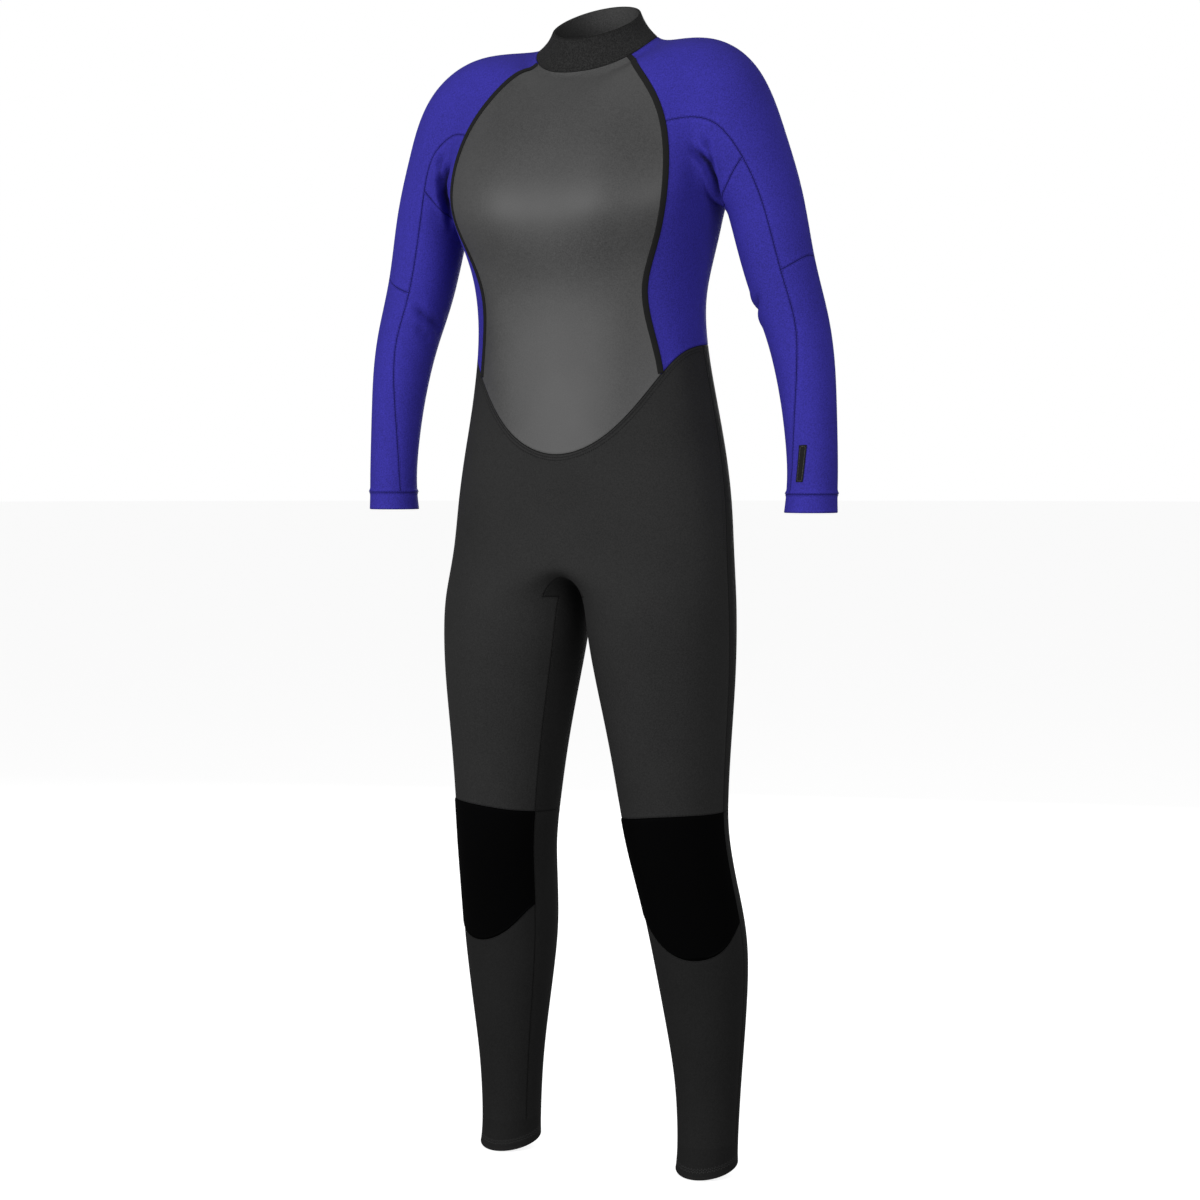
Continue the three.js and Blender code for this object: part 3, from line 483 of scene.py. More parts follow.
# nodes that are one piece of fabric on the suit, with no seam between them
ONE_CLOTH = [
    ("shoulder_panel", "upper_sleeve_outer"), ("side_panel", "underarm_panel"),
    ("upper_sleeve_inner", "elbow_inner", "forearm_inner"), ("elbow_outer", "forearm_outer"),
    ("pelvis_front", "hip_front", "thigh_front"), ("lower_back", "hip_back", "thigh_back", "crotch"),
    ("knee_back", "calf_back"),
]
ACROSS_BODY = (4, 5)  # groups in which left and right are one cloth too


def cloth_of(name):
    kind, _, hand = name.rpartition("_")
    for i, group in enumerate(ONE_CLOTH):
        if kind in group:
            return str(i) + ("" if i in ACROSS_BODY else hand)
    return name


cloths = [cloth_of(n) for n in label_names]
cloth = np.array([cloths.index(c) for c in cloths])[label]
_, edge_of, edge_count = edges_of(quads, len(surface))
lowest, highest = np.full(len(edge_count), 10**6), np.full(len(edge_count), -1)
np.minimum.at(lowest, edge_of.ravel(), np.repeat(cloth, 4))
np.maximum.at(highest, edge_of.ravel(), np.repeat(cloth, 4))
# the ankle hems are turned up from the shin and calf, not sewn on
turned_up = np.array([n.startswith("ankle_hem") for n in label_names])[label]
on_hem = np.bincount(edge_of.ravel(), np.repeat(turned_up, 4).astype(float), len(edge_count))
flush = ((edge_count == 2) & ((lowest == highest) | (on_hem == 1)))[edge_of]  # per quad and side


def unit(v):
    return v / np.maximum(np.linalg.norm(v, axis=-1, keepdims=True), 1e-12)


# weave coordinates: mm round the body and mm along it for one column and one row
PITCH = np.array([[50, 56], [46, 27], [48, 34]])[:, ::-1]
weave = np.stack([at[:, :, 1] * PITCH[part, 0][:, None], at[:, :, 0] * PITCH[part, 1][:, None]], -1)

# values of the seam attribute, in mm: an edge seen from inside the suit, and fabric away from every seam
UNDER, FAR = 3.0, 30.0


def new_mesh(name, p, faces, uv=None, slots=None, attributes=None, smooth_faces=True):
    """A mesh object from points in mm in the sections' frame and quads."""
    me = bpy.data.meshes.new(name)
    co = (np.asarray(p, float) + SHIFT) / 1000
    faces = np.asarray(faces)
    me.vertices.add(len(co))
    me.vertices.foreach_set("co", co.ravel())
    me.loops.add(faces.size)
    me.loops.foreach_set("vertex_index", faces.ravel().astype(np.int32))
    me.polygons.add(len(faces))
    me.polygons.foreach_set("loop_start", np.arange(0, faces.size, faces.shape[1], dtype=np.int32))
    if slots is not None:
        me.polygons.foreach_set("material_index", np.asarray(slots, np.int32))
    me.polygons.foreach_set("use_smooth", np.full(len(faces), smooth_faces))
    if uv is not None:
        layer = me.uv_layers.new(name="weave")
        layer.data.foreach_set("uv", (np.asarray(uv, float) / 1000).ravel())
    for key, values in (attributes or {}).items():
        me.attributes.new(key, "FLOAT", "POINT").data.foreach_set("value", np.asarray(values, np.float32))
    me.update(calc_edges=True)
    me.validate()
    ob = bpy.data.objects.new(name, me)
    bpy.context.scene.collection.objects.link(ob)
    return ob


def along_edges(p, a, b):
    """Length run along a panel's edges up to each of its edge points; the edges go from points a to b."""
    length = np.zeros(len(p))
    left = dict(zip(a.tolist(), b.tolist()))
    while left:
        v, run = next(iter(left)), 0.0
        while v in left:
            length[v] = run
            w = left.pop(v)
            run += float(np.linalg.norm(p[w] - p[v]))
            v = w
    return length


def from_edge(p, sewn, length):
    """Each point's distance from the sewn edge points, and the length along the edge at the nearest."""
    d, s = np.full(len(p), FAR), np.zeros(len(p))
    for i in range(0, len(p), 2048):
        gap = ((p[i:i + 2048, None] - p[None, sewn]) ** 2).sum(-1)
        j = gap.argmin(1)
        d[i:i + 2048] = np.sqrt(gap[np.arange(len(j)), j])
        s[i:i + 2048] = length[sewn[j]]
    return d, s


def panel(name, chosen, outer=0.0, inner=NEOPRENE, lip=0.9, roll=0.25, wall=0.01, centre_pull=0.0,
          joined=True):
    """A closed panel with rolled edges, from the chosen quads of the body surface.

    It lies from outer to inner mm under the surface, and its sides stand wall mm inside its outline, or
    centre_pull mm where they run along the zip. A joined panel is flush with the rest of its cloth.
    """
    q = quads[chosen]
    ids, local = np.unique(q, return_inverse=True)
    local = local.reshape(q.shape)
    n = len(ids)
    p, nrm = surface[ids], normals[ids]
    _, edge, count = edges_of(local, n)
    f, k = np.nonzero(count[edge] == 1)
    a, b = local[f, k], local[f, (k + 1) % 4]
    on_centre = (np.abs(p[a, 0]) < 1e-6) & (np.abs(p[b, 0]) < 1e-6)
    sharp = flush[chosen][f, k] if joined else np.zeros(len(a), bool)
    along = unit(p[b] - p[a])
    into, times = np.zeros((n, 3)), np.zeros(n)
    pulled = np.zeros(n, bool)
    for v in (a, b):
        w = unit(np.cross(nrm[v], along))
        np.add.at(into, v[~sharp], w[~sharp])
        np.add.at(times, v[~sharp], 1)
        if centre_pull:
            pulled[v[on_centre & (p[v, 1] > 40)]] = True
    half = into / np.maximum(times, 1)[:, None]
    inward = half / np.maximum((half**2).sum(1, keepdims=True), 0.3)
    rim = np.zeros(n, bool)
    e = np.unique(np.concatenate([a, b]))
    rim[e] = on_rim[ids[e]]
    slot_of = np.full(n, -1)
    slot_of[e] = np.arange(len(e))
    base = np.where(rim, 0.0, wall)[e][:, None]
    base = np.where(pulled[e][:, None], centre_pull, base)
    deep = min(1.1, (inner - outer) * 0.4)
    thick = inner - outer
    rings = [(lip, 0), (lip * 0.36, roll), (0, deep), (0, thick - deep * 0.8), (lip * 0.4, thick)]
    moved = []
    for w, depth in rings:
        step = inward[e] * (w + base)
        moved.append(p[e] + step - nrm[e] * (outer + depth))
    top = p - nrm * outer
    top[e] = moved[0]
    bottom = p - nrm * inner
    bottom[e] = moved[-1]
    points = [top, *moved[1:4], bottom]
    starts = np.cumsum([0] + [len(x) for x in points])
    ea, eb = slot_of[a], slot_of[b]
    sides = [(starts[i] + ea, starts[i] + eb) for i in (1, 2, 3)]
    loops = [(a, b), *sides, (starts[4] + a, starts[4] + b)]
    faces = [local]
    uv = [weave[chosen]]
    slots = [np.zeros(len(q))]
    edge_uv = weave[chosen][f, k], weave[chosen][f, (k + 1) % 4]
    for (ra, rb), (sa, sb) in zip(loops, loops[1:]):
        faces.append(np.stack([ra, sa, sb, rb], 1))
        uv.append(np.stack([edge_uv[0], edge_uv[0], edge_uv[1], edge_uv[1]], 1))
        slots.append(np.zeros(len(ra)))
    faces.append(local[:, ::-1] + starts[4])
    uv.append(weave[chosen][:, ::-1])
    slots.append(np.ones(len(q)))
    # distance from the panel's edge and length along it, in mm, for seams and stitches
    s_edge = along_edges(p, a, b)
    d, s = from_edge(p, e[times[e] > 0], s_edge)
    d[e] = np.where(times[e] > 0, lip + wall, d[e])
    seam = np.concatenate([d, np.full(len(e), lip * 0.36), np.zeros(len(e)), np.full(len(e), UNDER),
                           np.full(n, FAR)])
    run = np.concatenate([s, s_edge[e], s_edge[e], s_edge[e], s])
    # the painted shade of the folds at each point; the rings take their edge points' values
    painted_fold_shade = np.concatenate([crease[ids], *[crease[ids[e]]] * 3, crease[ids]])
    ob = new_mesh(name, np.concatenate(points), np.concatenate(faces), np.concatenate(uv),
                  np.concatenate(slots), {"seam": seam, "run": run, "crease": painted_fold_shade})
    if sharp.any():
        me = ob.data
        vn = np.zeros(len(me.vertices) * 3)
        me.vertex_normals.foreach_get("vector", vn)
        vn = vn.reshape(-1, 3)
        flat = np.unique(np.concatenate([a[sharp], b[sharp]]))
        vn[flat] = nrm[flat]
        me.normals_split_custom_set_from_vertices(vn.tolist())
    return ob


# ---- materials ----
def nodes_for(name):
    m = bpy.data.materials.new(name)
    m.use_nodes = True
    nt = m.node_tree
    nt.nodes.clear()
    out = nt.nodes.new("ShaderNodeOutputMaterial")
    shader = nt.nodes.new("ShaderNodeBsdfPrincipled")
    nt.links.new(shader.outputs[0], out.inputs[0])
    return m, nt, shader


class Graph:
    """Short names for the nodes the fabrics share."""

    def __init__(self, nt):
        self.nt = nt

    def put(self, socket, value):
        if isinstance(value, bpy.types.NodeSocket):
            self.nt.links.new(value, socket)
        else:
            socket.default_value = value

    def math(self, op, *values):
        n = self.nt.nodes.new("ShaderNodeMath")
        n.operation = op
        for i, v in enumerate(values):
            self.put(n.inputs[i], v)
        return n.outputs[0]

    def attribute(self, name):
        n = self.nt.nodes.new("ShaderNodeAttribute")
        n.attribute_name = name
        return n.outputs["Fac"]

    def ramp(self, value, lo, hi, a=0.0, b=1.0):
        n = self.nt.nodes.new("ShaderNodeMapRange")
        n.interpolation_type = "SMOOTHSTEP"
        for key, v in (("Value", value), ("From Min", lo), ("From Max", hi), ("To Min", a), ("To Max", b)):
            self.put(n.inputs[key], v)
        return n.outputs[0]

    def noise(self, vector, scale, detail=2.0, roughness=0.5):
        n = self.nt.nodes.new("ShaderNodeTexNoise")
        self.put(n.inputs["Vector"], vector)
        n.inputs["Scale"].default_value = scale
        n.inputs["Detail"].default_value = detail
        n.inputs["Roughness"].default_value = roughness
        return n.outputs[0]

    def cells(self, vector, scale):
        n = self.nt.nodes.new("ShaderNodeTexVoronoi")
        self.put(n.inputs["Vector"], vector)
        n.inputs["Scale"].default_value = scale
        return n.outputs["Distance"]

    def mix(self, factor, a, b, blend="MIX"):
        n = self.nt.nodes.new("ShaderNodeMix")
        n.data_type, n.blend_type = "RGBA", blend
        self.put(n.inputs[0], factor)
        self.put(n.inputs[6], a)
        self.put(n.inputs[7], b)
        return n.outputs[2]

    def bump(self, height, distance, strength=1.0, normal=None):
        n = self.nt.nodes.new("ShaderNodeBump")
        self.put(n.inputs["Height"], height)
        n.inputs["Distance"].default_value = distance
        n.inputs["Strength"].default_value = strength
        if normal is not None:
            self.put(n.inputs["Normal"], normal)
        return n.outputs[0]

    def coords(self):
        uv = self.nt.nodes.new("ShaderNodeUVMap")
        uv.uv_map = "weave"
        parts = self.nt.nodes.new("ShaderNodeSeparateXYZ")
        self.nt.links.new(uv.outputs[0], parts.inputs[0])
        place = self.nt.nodes.new("ShaderNodeTexCoord")
        return uv.outputs[0], parts.outputs[0], parts.outputs[1], place.outputs["Object"]


def tint(colour, k):
    return tuple(c * k for c in colour[:3]) + (1.0,)


def fabric(name, colour, thread, wale=1.3, course=1.0, weave_depth=0.00012, roughness=0.8, sheen=0.03,
           specular=0.12, mottle=0.08, grain=0.3, rows=(2.0,), pitch=3.4, zigzag=0.0, thick=0.3,
           seam_shade=0.3, style="knit"):
    """Neoprene faced with knit jersey, smooth skin, dotted rubber or pile; rows of stitches lie at rows mm
    from a seam, pitch mm long and thick mm wide."""
    m, nt, shader = nodes_for(name)
    g = Graph(nt)
    uv, u, v, place = g.coords()
    seam, run = g.attribute("seam"), g.attribute("run")
    if style == "knit":
        # each loop of the knit is a V: rows that rise and fall once per wale
        leg = g.math("PINGPONG", g.math("DIVIDE", u, wale / 1000), 0.5)
        phase = g.math("ADD", g.math("DIVIDE", v, course / 1000), g.math("MULTIPLY", leg, 1.1))
        loop = g.math("SINE", g.math("MULTIPLY", phase, 2 * math.pi))
        height = g.math("ADD", g.math("MULTIPLY", loop, 0.35), g.math("MULTIPLY", leg, 1.3))
    elif style == "skin":
        height = g.math("ADD", g.math("MULTIPLY", g.noise(place, 520, 3, 0.6), 1.2),
                        g.math("MULTIPLY", g.noise(place, 110, 2), 2.2))
    elif style == "pad":
        height = g.ramp(g.cells(uv, 420), 0.15, 0.55)
    elif style == "pile":
        height = g.noise(place, 1400, 4, 0.8)
    # slow unevenness of the dye and the fine grain of the yarn
    slow = g.noise(place, 7, 3, 0.55)
    fine = g.noise(place, 620, 3, 0.7)
    level = g.math("ADD", g.ramp(slow, 0.3, 0.7, 1 - mottle, 1 + mottle),
                   g.ramp(fine, 0.25, 0.75, -grain, grain))
    # painted shade in the groove of each seam: the colour darkens towards the panel's rolled edge
    groove_shade = g.ramp(seam, 0.1, 0.8, seam_shade, 1.0)
    worn = g.ramp(seam, 2.0, 9.0, 1.05, 1.0)
    level = g.math("MULTIPLY", g.math("MULTIPLY", level, groove_shade), worn)
    # painted shade in the folds darkens the colour, to 0.12 of it at the deepest
    level = g.math("MULTIPLY", level, g.ramp(g.attribute("crease"), 0.0, 1.0, 1.0, 0.12))
    shade = g.nt.nodes.new("ShaderNodeVectorMath")
    shade.operation = "SCALE"
    shade.inputs[0].default_value = colour[:3]
    g.put(shade.inputs["Scale"], level)
    base = shade.outputs[0]
    normal = g.bump(height, weave_depth, 0.55)
    if rows:
        dash = g.ramp(g.math("SINE", g.math("MULTIPLY", run, 2 * math.pi / pitch)), -0.35, 0.15)
        sway = g.math("MULTIPLY", g.math("PINGPONG", run, pitch), zigzag)
        place_of_row = g.math("SUBTRACT", seam, sway)
        stitch = 0.0
        for r in rows:
            off = g.math("ABSOLUTE", g.math("SUBTRACT", place_of_row, r))
            stitch = g.math("MAXIMUM", stitch, g.ramp(off, thick * 0.7, thick * 1.4, 1.0, 0.0))
        sewn = g.math("MULTIPLY", stitch, dash)
        pinch = g.math("SUBTRACT", g.math("MULTIPLY", sewn, 1.4), stitch)
        base = g.mix(g.math("MULTIPLY", sewn, 0.75), base, thread)
        normal = g.bump(pinch, 0.0005, 0.8, normal)
    g.put(shader.inputs["Base Color"], base)
    g.put(shader.inputs["Normal"], normal)
    rough = g.ramp(fine, 0.3, 0.7, roughness - 0.05, min(1.0, roughness + 0.05))
    g.put(shader.inputs["Roughness"], rough)
    shader.inputs["Specular IOR Level"].default_value = specular
    shader.inputs["Sheen Weight"].default_value = sheen
    shader.inputs["Sheen Roughness"].default_value = 0.45
    shader.inputs["Sheen Tint"].default_value = tint(colour, min(8.0, 0.5 / max(colour[:3])))
    return m


def metal(name, colour, rough):
    m, nt, shader = nodes_for(name)
    g = Graph(nt)
    place = g.coords()[3]
    streak = g.noise(place, 900, 4, 0.7)
    shade = g.mix(g.ramp(streak, 0.3, 0.7), tint(colour, 0.75), tint(colour, 1.1))
    g.put(shader.inputs["Base Color"], shade)
    g.put(shader.inputs["Roughness"], g.ramp(streak, 0.3, 0.7, rough - 0.08, rough + 0.1))
    g.put(shader.inputs["Normal"], g.bump(streak, 0.00008, 0.5))
    shader.inputs["Metallic"].default_value = 1.0
    return m


BLUE = (0.032, 0.0262, 0.28, 1)
BLACK = (0.02, 0.02, 0.02, 1)
MATERIALS = {
    "blue_jersey": fabric("blue_jersey", BLUE, tint(BLUE, 0.4), rows=(1.4,), seam_shade=0.35),
    "black_jersey": fabric("black_jersey", BLACK, tint(BLACK, 0.4), rows=(1.4,), seam_shade=0.5),
    "belly_jersey": fabric("belly_jersey", BLACK, tint(BLACK, 0.25), rows=(3.4, 6.6), thick=0.55,
                           seam_shade=0.15, pitch=2.6),
    # painted shade: the shin, hem, back and gusset jerseys are the black jersey darkened where the legs stand
    # in shade
    "shaded_shin_jersey": fabric("shaded_shin_jersey", tint(BLACK, 0.62), tint(BLACK, 0.2), rows=(1.5,), seam_shade=0.45),
    "hem_jersey": fabric("hem_jersey", tint(BLACK, 0.55), tint(BLACK, 2.2), rows=(8.5, 11.5), pitch=2.4,
                         zigzag=0.8, thick=0.6),
    "back_jersey": fabric("back_jersey", tint(BLACK, 0.62), tint(BLACK, 0.2), rows=(1.5,), seam_shade=0.4),
    "gusset_jersey": fabric("gusset_jersey", tint(BLACK, 0.62), tint(BLACK, 0.2), rows=(1.5,), seam_shade=0.4),
    "collar_jersey": fabric("collar_jersey", tint(BLACK, 0.95), tint(BLACK, 0.3), wale=2.4, course=1.9,
                            weave_depth=0.0006, grain=0.75, rows=(1.7, 4.4)),
    "smooth_skin": fabric("smooth_skin", (0.036, 0.036, 0.036, 1), tint(BLACK, 0.4), weave_depth=0.00009,
                          roughness=0.6, sheen=0.0, specular=0.62, rows=(), style="skin", mottle=0.14,
                          grain=0.4),
    "knee_rubber": fabric("knee_rubber", (0.0009, 0.0009, 0.001, 1), tint(BLACK, 0.2), weave_depth=0.00015,
                          roughness=0.85, sheen=0.0, specular=0.03, rows=(), style="pad", seam_shade=0.6),
    "lining": fabric("lining", tint(BLACK, 2.4), tint(BLACK, 1.5), rows=(), weave_depth=0.0002),
    "piping": fabric("piping", tint(BLACK, 0.3), tint(BLACK, 0.9), wale=0.9, rows=(), specular=0.2),
    "zip_tape": fabric("zip_tape", tint(BLACK, 0.5), tint(BLACK, 1.2), wale=0.8, course=0.8, rows=(6.0,)),
    "zip_teeth": fabric("zip_teeth", tint(BLACK, 0.7), tint(BLACK, 1.0), roughness=0.38, specular=0.5,
                        sheen=0.0, rows=(), style="skin", mottle=0.03, grain=0.05),
    "loop_pile": fabric("loop_pile", tint(BLACK, 0.9), tint(BLACK, 0.4), weave_depth=0.0009, rows=(1.8,),
                        style="pile", sheen=0.3),
    "label_weave": fabric("label_weave", tint(BLACK, 0.5), tint(BLACK, 6.0), wale=0.5, course=0.5,
                          rows=(1.6,), pitch=1.6, seam_shade=0.7),
    "zip_metal": metal("zip_metal", (0.42, 0.42, 0.44, 1), 0.32),
}
SLOT_OF = [
    (("shoulder_", "underarm_", "side_panel", "upper_sleeve", "elbow", "forearm", "cuff"), "blue_jersey"),
    (("chest_panel",), "smooth_skin"), (("knee_pad",), "knee_rubber"), (("crotch",), "gusset_jersey"),
    (("neck_collar", "collar_tab"), "collar_jersey"), (("chest_trim",), "piping"),
    (("zip_tape",), "zip_tape"), (("zip_teeth",), "zip_teeth"), (("loop_patch",), "loop_pile"),
    (("sleeve_label",), "label_weave"),
]


def slot_name(name):
    return next((slot for starts, slot in SLOT_OF if name.startswith(starts)), "black_jersey")


# variants of a slot's finish, with other sewing, and darker copies of the black jersey painting shade on the
# shins, ankles and back panels
FINISH_OF = [("pelvis_front", "belly_jersey"), ("ankle_hem", "hem_jersey"), ("shin_front", "shaded_shin_jersey"),
             ("calf_back", "back_jersey"), ("knee_back", "back_jersey"), ("thigh_back", "back_jersey"),
             ("hip_back", "back_jersey"), ("lower_back", "back_jersey")]


def finish_piece(ob, node, body, blend=None):
    """Gives a piece its materials, bakes its transform where a bend is given or else attaches it to its body,
    and hides the CAD node it stands for.
    """
    slot = slot_name(node)
    finish = next((f for start, f in FINISH_OF if node.startswith(start)), slot)
    ob.data.materials.append(MATERIALS[finish])
    ob.data.materials.append(MATERIALS["lining"])
    if blend:
        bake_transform(ob)
    else:
        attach(ob, body)
    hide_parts(node)
    return ob


# where cloth bends at a joint, on the left of the body: the pieces it takes in, the two bodies, a point on
# the bend, its direction, and how far it reaches before and after that point
BENDS = [
    (("shoulder_panel", "underarm_panel", "upper_sleeve"), "torso", "upper_arm_", (158, 12, 1138),
     (0.93, 0, -0.37), 0, 72),
    (("elbow", "forearm", "cuff"), "upper_arm_", "forearm_", (259, 15, 985), (0.24, 0, -0.97), 52, 58),
    (("pelvis", "lower_back", "hip", "thigh"), "torso", "thigh_", (0, 2, 700), (0.5, 0, -0.85), 0, 140),
    (("knee", "shin", "calf", "ankle"), "thigh_", "shin_", (110, 10, 408), (0, 0, -1), 0, 113),
]


def bend_of(name):
    """The joint a panel bends across, as (body, body, start, end) in mm."""
    hand = "left" if name.endswith("_left") else "right"
    flip = np.array([1 if hand == "left" else -1, 1, 1])
    for starts, upper, lower, point, direction, before, after in BENDS:
        if name.startswith(starts):
            d, point = unit(np.array(direction, float)), np.array(point, float)
            bodies = [body + hand if body.endswith("_") else body for body in (upper, lower)]
            return *bodies, flip * (point - d * before), flip * (point + d * after)
    return None


for i, name in enumerate(label_names):
    chosen = np.nonzero(label == i)[0]
    node = name
    extra = {}
    if name.startswith(("pelvis_front", "lower_back")):
        node = name.rsplit("_", 1)[0]
    elif name.startswith("zip_tape"):
        extra = {"outer": 0.8, "inner": 2.2, "lip": 0.6, "roll": 0.2, "centre_pull": TEETH_TO + 0.3}
    elif name.startswith("knee_pad"):
        extra = {"outer": -PAD_PROUD, "lip": 2.4, "roll": 0.5}
    ob = panel(name + "_skin", chosen, **extra)
    finish_piece(ob, node, "torso", bend_of(name))

# ---- pieces laid over or under the panels ----
row, col = half_step[:, 0], half_step[:, 1]
trunk, left_side = part == 0, side > 0
tab_rows = trunk & (row >= COLLAR_SEAM + 1) & (row < COLLAR_SEAM + 3)


def laid(name, chosen, body, **sizes):
    return finish_piece(panel(name + "_skin", np.nonzero(chosen)[0], joined=False, **sizes), name, body)


on_tag = (part == 1) & left_side & (row >= 15) & (row < 17) & (col == 16)
tag = panel("sleeve_label_skin", np.nonzero(on_tag)[0], outer=-0.8, inner=-0.3, lip=0.5, roll=0.1,
            joined=False)
finish_piece(tag, "sleeve_label", "torso", bend_of("cuff_left"))
laid("loop_patch", tab_rows & ~left_side & (col >= 10) & (col < 13), "torso", outer=-0.9, inner=-0.3, lip=0.4,
     roll=0.15, wall=1.5)
on_tab = tab_rows & ((left_side & (col >= 14)) | (~left_side & (col >= 10)))
laid("collar_tab", on_tab & (col < 16), "collar_tab", outer=-2.8, inner=-1.0, lip=1.0, roll=0.3, wall=0.6)
behind_zip = trunk & (row >= ZIP_FOOT) & (row < ZIP_HEAD)
laid("guard_strip", behind_zip & left_side & (col == 14), "torso", outer=3.3, inner=4.7, lip=0.5, roll=0.2)
laid("zip_guard", behind_zip & (col >= 14) & (col < 16), "torso", outer=5, inner=7, lip=0.7, roll=0.3)


def close_up(ob):
    """Caps the open ends of a piece and turns its faces outwards."""
    bm = bmesh.new()
    bm.from_mesh(ob.data)
    bmesh.ops.holes_fill(bm, edges=[e for e in bm.edges if e.is_boundary], sides=0)
    bmesh.ops.recalc_face_normals(bm, faces=bm.faces)
    bm.to_mesh(ob.data)
    bm.free()


# ---- piping over the chest panel's side seams ----
TRIM_INSET = 1.2  # how far the piping stops short of each end of its seam


def piping(hand):
    x = 1 if hand == "left" else -1
    by_seam = (col_of == 2) & (row_of >= WAIST / 2) & (row_of <= COLLAR_SEAM / 2)
    here = np.nonzero(by_seam & (surface[:, 0] * x > 0))[0]
    here = here[np.argsort(row_of[here])]
    p, n = surface[here], normals[here]
    along = unit(np.gradient(p, axis=0))
    across = unit(np.cross(n, along))
    length = np.concatenate([[0], np.cumsum(np.linalg.norm(np.diff(p, axis=0), axis=1))])
    half = TRIM_WIDTH / 2
    outline = [(-half, 0.1), (-half, 0.5), (-half * 0.86, 0.95), (-half * 0.6, TRIM_RISE),
               (0, TRIM_RISE + 0.15), (half * 0.6, TRIM_RISE), (half * 0.86, 0.95), (half, 0.5), (half, 0.1),
               (0, 0.1)]
    rings = np.stack([p + across * w + n * h for w, h in outline], 1)
    rings[0] += along[0] * TRIM_INSET
    rings[-1] -= along[-1] * TRIM_INSET
    m, k = len(here), len(outline)
    i, j = np.meshgrid(np.arange(m - 1), np.arange(k), indexing="ij")
    i, j = i.ravel(), j.ravel()
    jn = (j + 1) % k
    faces = np.stack([i * k + j, (i + 1) * k + j, (i + 1) * k + jn, i * k + jn], 1)
    u = np.array([w for w, _ in outline])
    uv = np.stack([np.stack([u[a], length[b]], -1) for a, b in ((j, i), (j, i + 1), (jn, i + 1), (jn, i))], 1)
    edge = np.tile(np.abs(np.abs(u) - half), m)
    ob = new_mesh("chest_trim_" + hand + "_skin", rings.reshape(-1, 3), faces, uv, None,
                  {"seam": edge + 1.5, "run": np.repeat(length, k)})
    close_up(ob)
    finish_piece(ob, "chest_trim_" + hand, "torso")


piping("left")
piping("right")

# ---- zip hardware, in the zip's own frame: x across, y out of the back, z up the zip ----
FOOT_Z = 912.0
FOOT = np.array([0, zip_y(FOOT_Z), FOOT_Z])
ZIP_UP = unit(np.array([0, ZIP_LINE[1], 1.0]))
ZIP_OUT = np.array([0, ZIP_UP[2], -ZIP_UP[1]])
ZIP_LENGTH = 384.98  # from its foot to its head
ZIP_STOP = 4.0  # length at each end without teeth
TOOTH = 2.7  # pitch of one row


def on_back(p):
    p = np.asarray(p, float)
    return FOOT + p[:, :1] * [1, 0, 0] + p[:, 1:2] * ZIP_OUT + p[:, 2:] * ZIP_UP


def teeth(hand):
    x = 1 if hand == "left" else -1
    # a moulded tooth: a narrow root on the tape, a waist, and a rounded head past the middle
    outline = [(3.9, 0.5), (2.2, 0.5), (1.0, 0.34), (0.2, 0.5), (-0.55, 0.62), (-0.95, 0.42)]
    outline = outline + [(a, -b) for a, b in reversed(outline)]
    layers = [(-2.9, 0.82), (-2.6, 1.0), (0.3, 1.0), (0.65, 0.8)]
    count = int((ZIP_LENGTH - 2 * ZIP_STOP) / TOOTH)
    points, faces = [], []
    k = len(outline)
    for t in range(count):
        z = ZIP_STOP + t * TOOTH + (0 if x > 0 else TOOTH / 2)
        o = len(points)
        for y, s in layers:
            points += [(x * (1.5 + (a - 1.5) * (0.94 if s < 1 else 1)), y, z + b * s) for a, b in outline]
        for r in range(len(layers) - 1):
            for j in range(k):
                n = (j + 1) % k
                faces.append((o + r * k + j, o + r * k + n, o + (r + 1) * k + n, o + (r + 1) * k + j))
        for r in (0, len(layers) - 1):
            c = o + r * k
            for j in range(k // 2 - 1):
                faces.append((c + j, c + j + 1, c + k - 2 - j, c + k - 1 - j))
    p = np.array(points)
    f = np.array(faces)
    uv = p[f][..., [0, 2]]
    ob = new_mesh("zip_teeth_" + hand + "_skin", on_back(p), f, uv, None,
                  {"seam": np.full(len(p), FAR), "run": np.zeros(len(p))})
    close_up(ob)
    finish_piece(ob, "zip_teeth_" + hand, "torso")


teeth("left")
teeth("right")

for name in ("zip_slider", "zip_pull", "zip_bottom_stop"):
    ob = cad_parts[name]
    for s in ob.material_slots:
        s.link = "OBJECT"
        s.material = MATERIALS["zip_metal"]
    bevel = ob.modifiers.new("soft edges", "BEVEL")
    bevel.width, bevel.segments, bevel.limit_method = 0.0003, 2, "ANGLE"


# ---- floor, light and camera ----
def plain(name, colour):
    m, nt, shader = nodes_for(name)
    g = Graph(nt)
    place = g.coords()[3]
    g.put(shader.inputs["Base Color"], g.mix(g.noise(place, 3, 2), tint(colour, 0.985), tint(colour, 1.0)))
    shader.inputs["Roughness"].default_value = 0.9
    shader.inputs["Specular IOR Level"].default_value = 0.1
    shader.inputs["Emission Color"].default_value = (1, 1, 1, 1)
    shader.inputs["Emission Strength"].default_value = 0.82
    return m


bpy.ops.mesh.primitive_circle_add(vertices=64, radius=60, fill_type="NGON", location=(0, 0, -0.001))
floor = bpy.context.object
floor.name = "floor"
floor.data.materials.append(plain("floor_white", (0.5, 0.5, 0.5, 1)))
floor.visible_diffuse = floor.visible_glossy = False


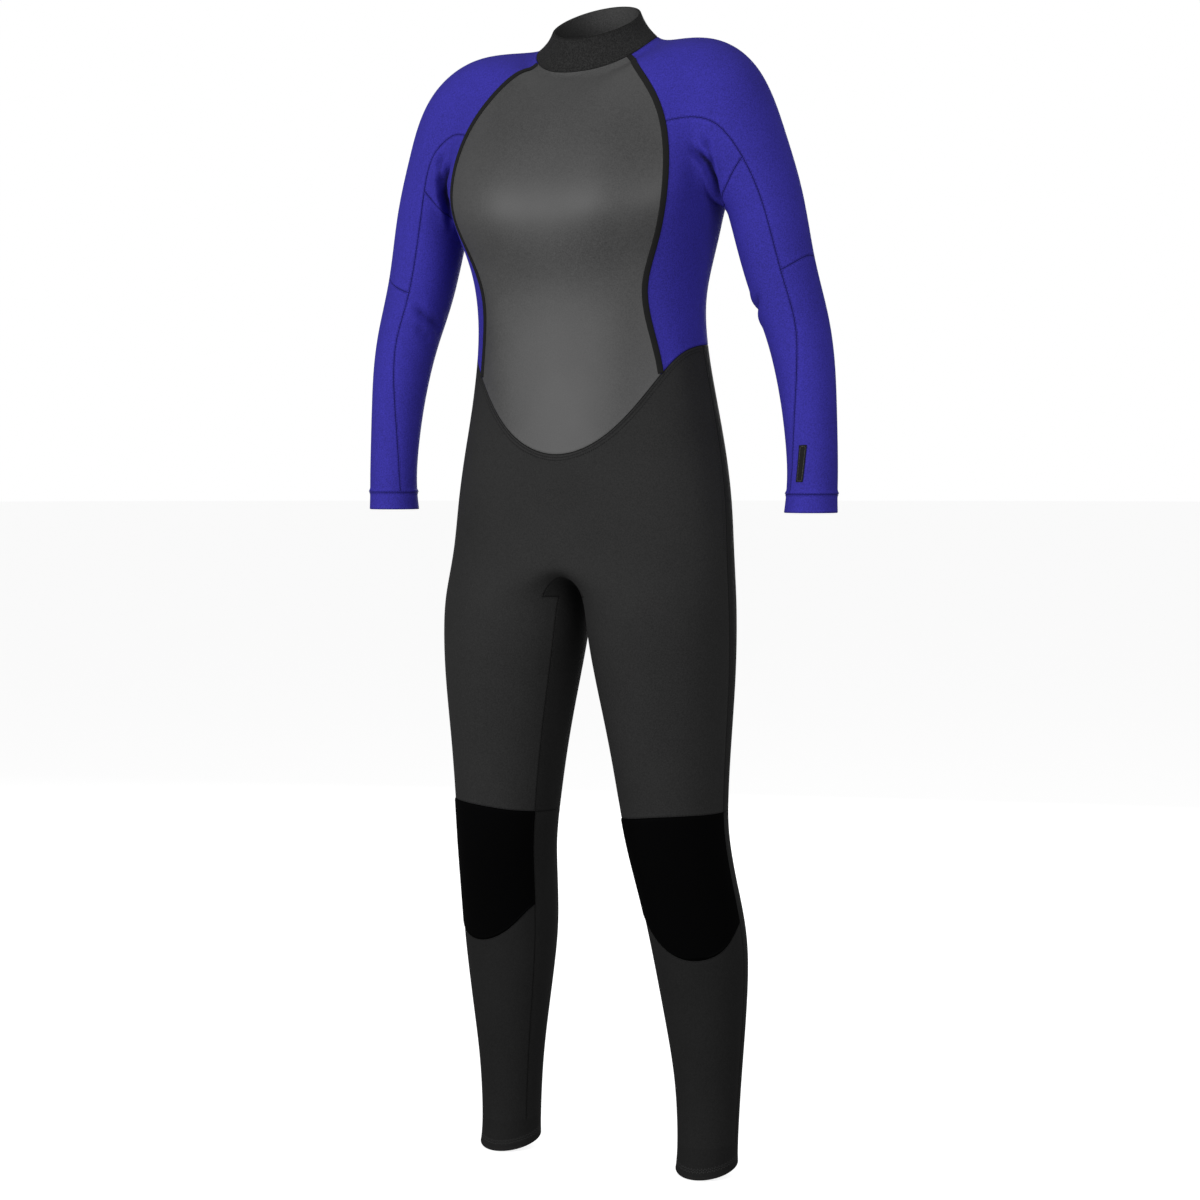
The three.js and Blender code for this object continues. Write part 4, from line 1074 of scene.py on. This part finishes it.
# name, place, the point it is turned to, width and power, in metres and watts
LIGHTS = [
    ("key", (-1.0, -2.3, 1.35), (0, 0, 1.05), 1.7, 50),
    ("fill", (2.2, -2.0, 1.3), (0, 0, 1.0), 1.6, 36),
    ("back", (-0.8, 2.9, 1.5), (0, 0, 0.95), 1.6, 50),
    ("top", (0, 0.2, 3.6), (0, 0, 0), 2.0, 9),
]


def area(name, place, aim, size, power):
    light = bpy.data.lights.new(name, "AREA")
    light.shape, light.size, light.energy = "DISK", size, power
    ob = bpy.data.objects.new(name, light)
    bpy.context.scene.collection.objects.link(ob)
    ob.location = place
    ob.rotation_euler = (Vector(aim) - Vector(place)).to_track_quat("-Z", "Y").to_euler()


for lamp in LIGHTS:
    area(*lamp)

world = bpy.data.worlds.new("studio")
bpy.context.scene.world = world
world.use_nodes = True
nt = world.node_tree
nt.nodes.clear()
g = Graph(nt)
path = nt.nodes.new("ShaderNodeLightPath")
sky = nt.nodes.new("ShaderNodeBackground")
sky.inputs["Color"].default_value = (1, 1, 1, 1)
SKY_LIGHT = 0.26  # what the white surroundings give the suit; the camera sees them at 1
g.put(sky.inputs["Strength"], g.ramp(path.outputs["Is Camera Ray"], 0, 1, SKY_LIGHT, 1.0))
out = nt.nodes.new("ShaderNodeOutputWorld")
nt.links.new(sky.outputs[0], out.inputs[0])

# the eye: turned to the wearer's left, looking slightly down, a little to the right of the line to the middle
TURN, TILT = math.radians(27), math.radians(3.16)
DISTANCE, ASIDE, EYE_HEIGHT = 2.8, 0.0128, 0.8332
camera = bpy.data.cameras.new("camera")
eye = bpy.data.objects.new("camera", camera)
bpy.context.scene.collection.objects.link(eye)
eye.location = (math.sin(TURN) * DISTANCE + math.cos(TURN) * ASIDE,
                -math.cos(TURN) * DISTANCE + math.sin(TURN) * ASIDE + SHIFT[1] / 1000, EYE_HEIGHT)
eye.rotation_euler = (math.pi / 2 - TILT, 0, TURN)
camera.lens, camera.sensor_width = 71.27, 36
camera.clip_start, camera.clip_end = 0.05, 200
bpy.context.scene.camera = eye
bpy.context.scene.view_settings.view_transform = "Standard"
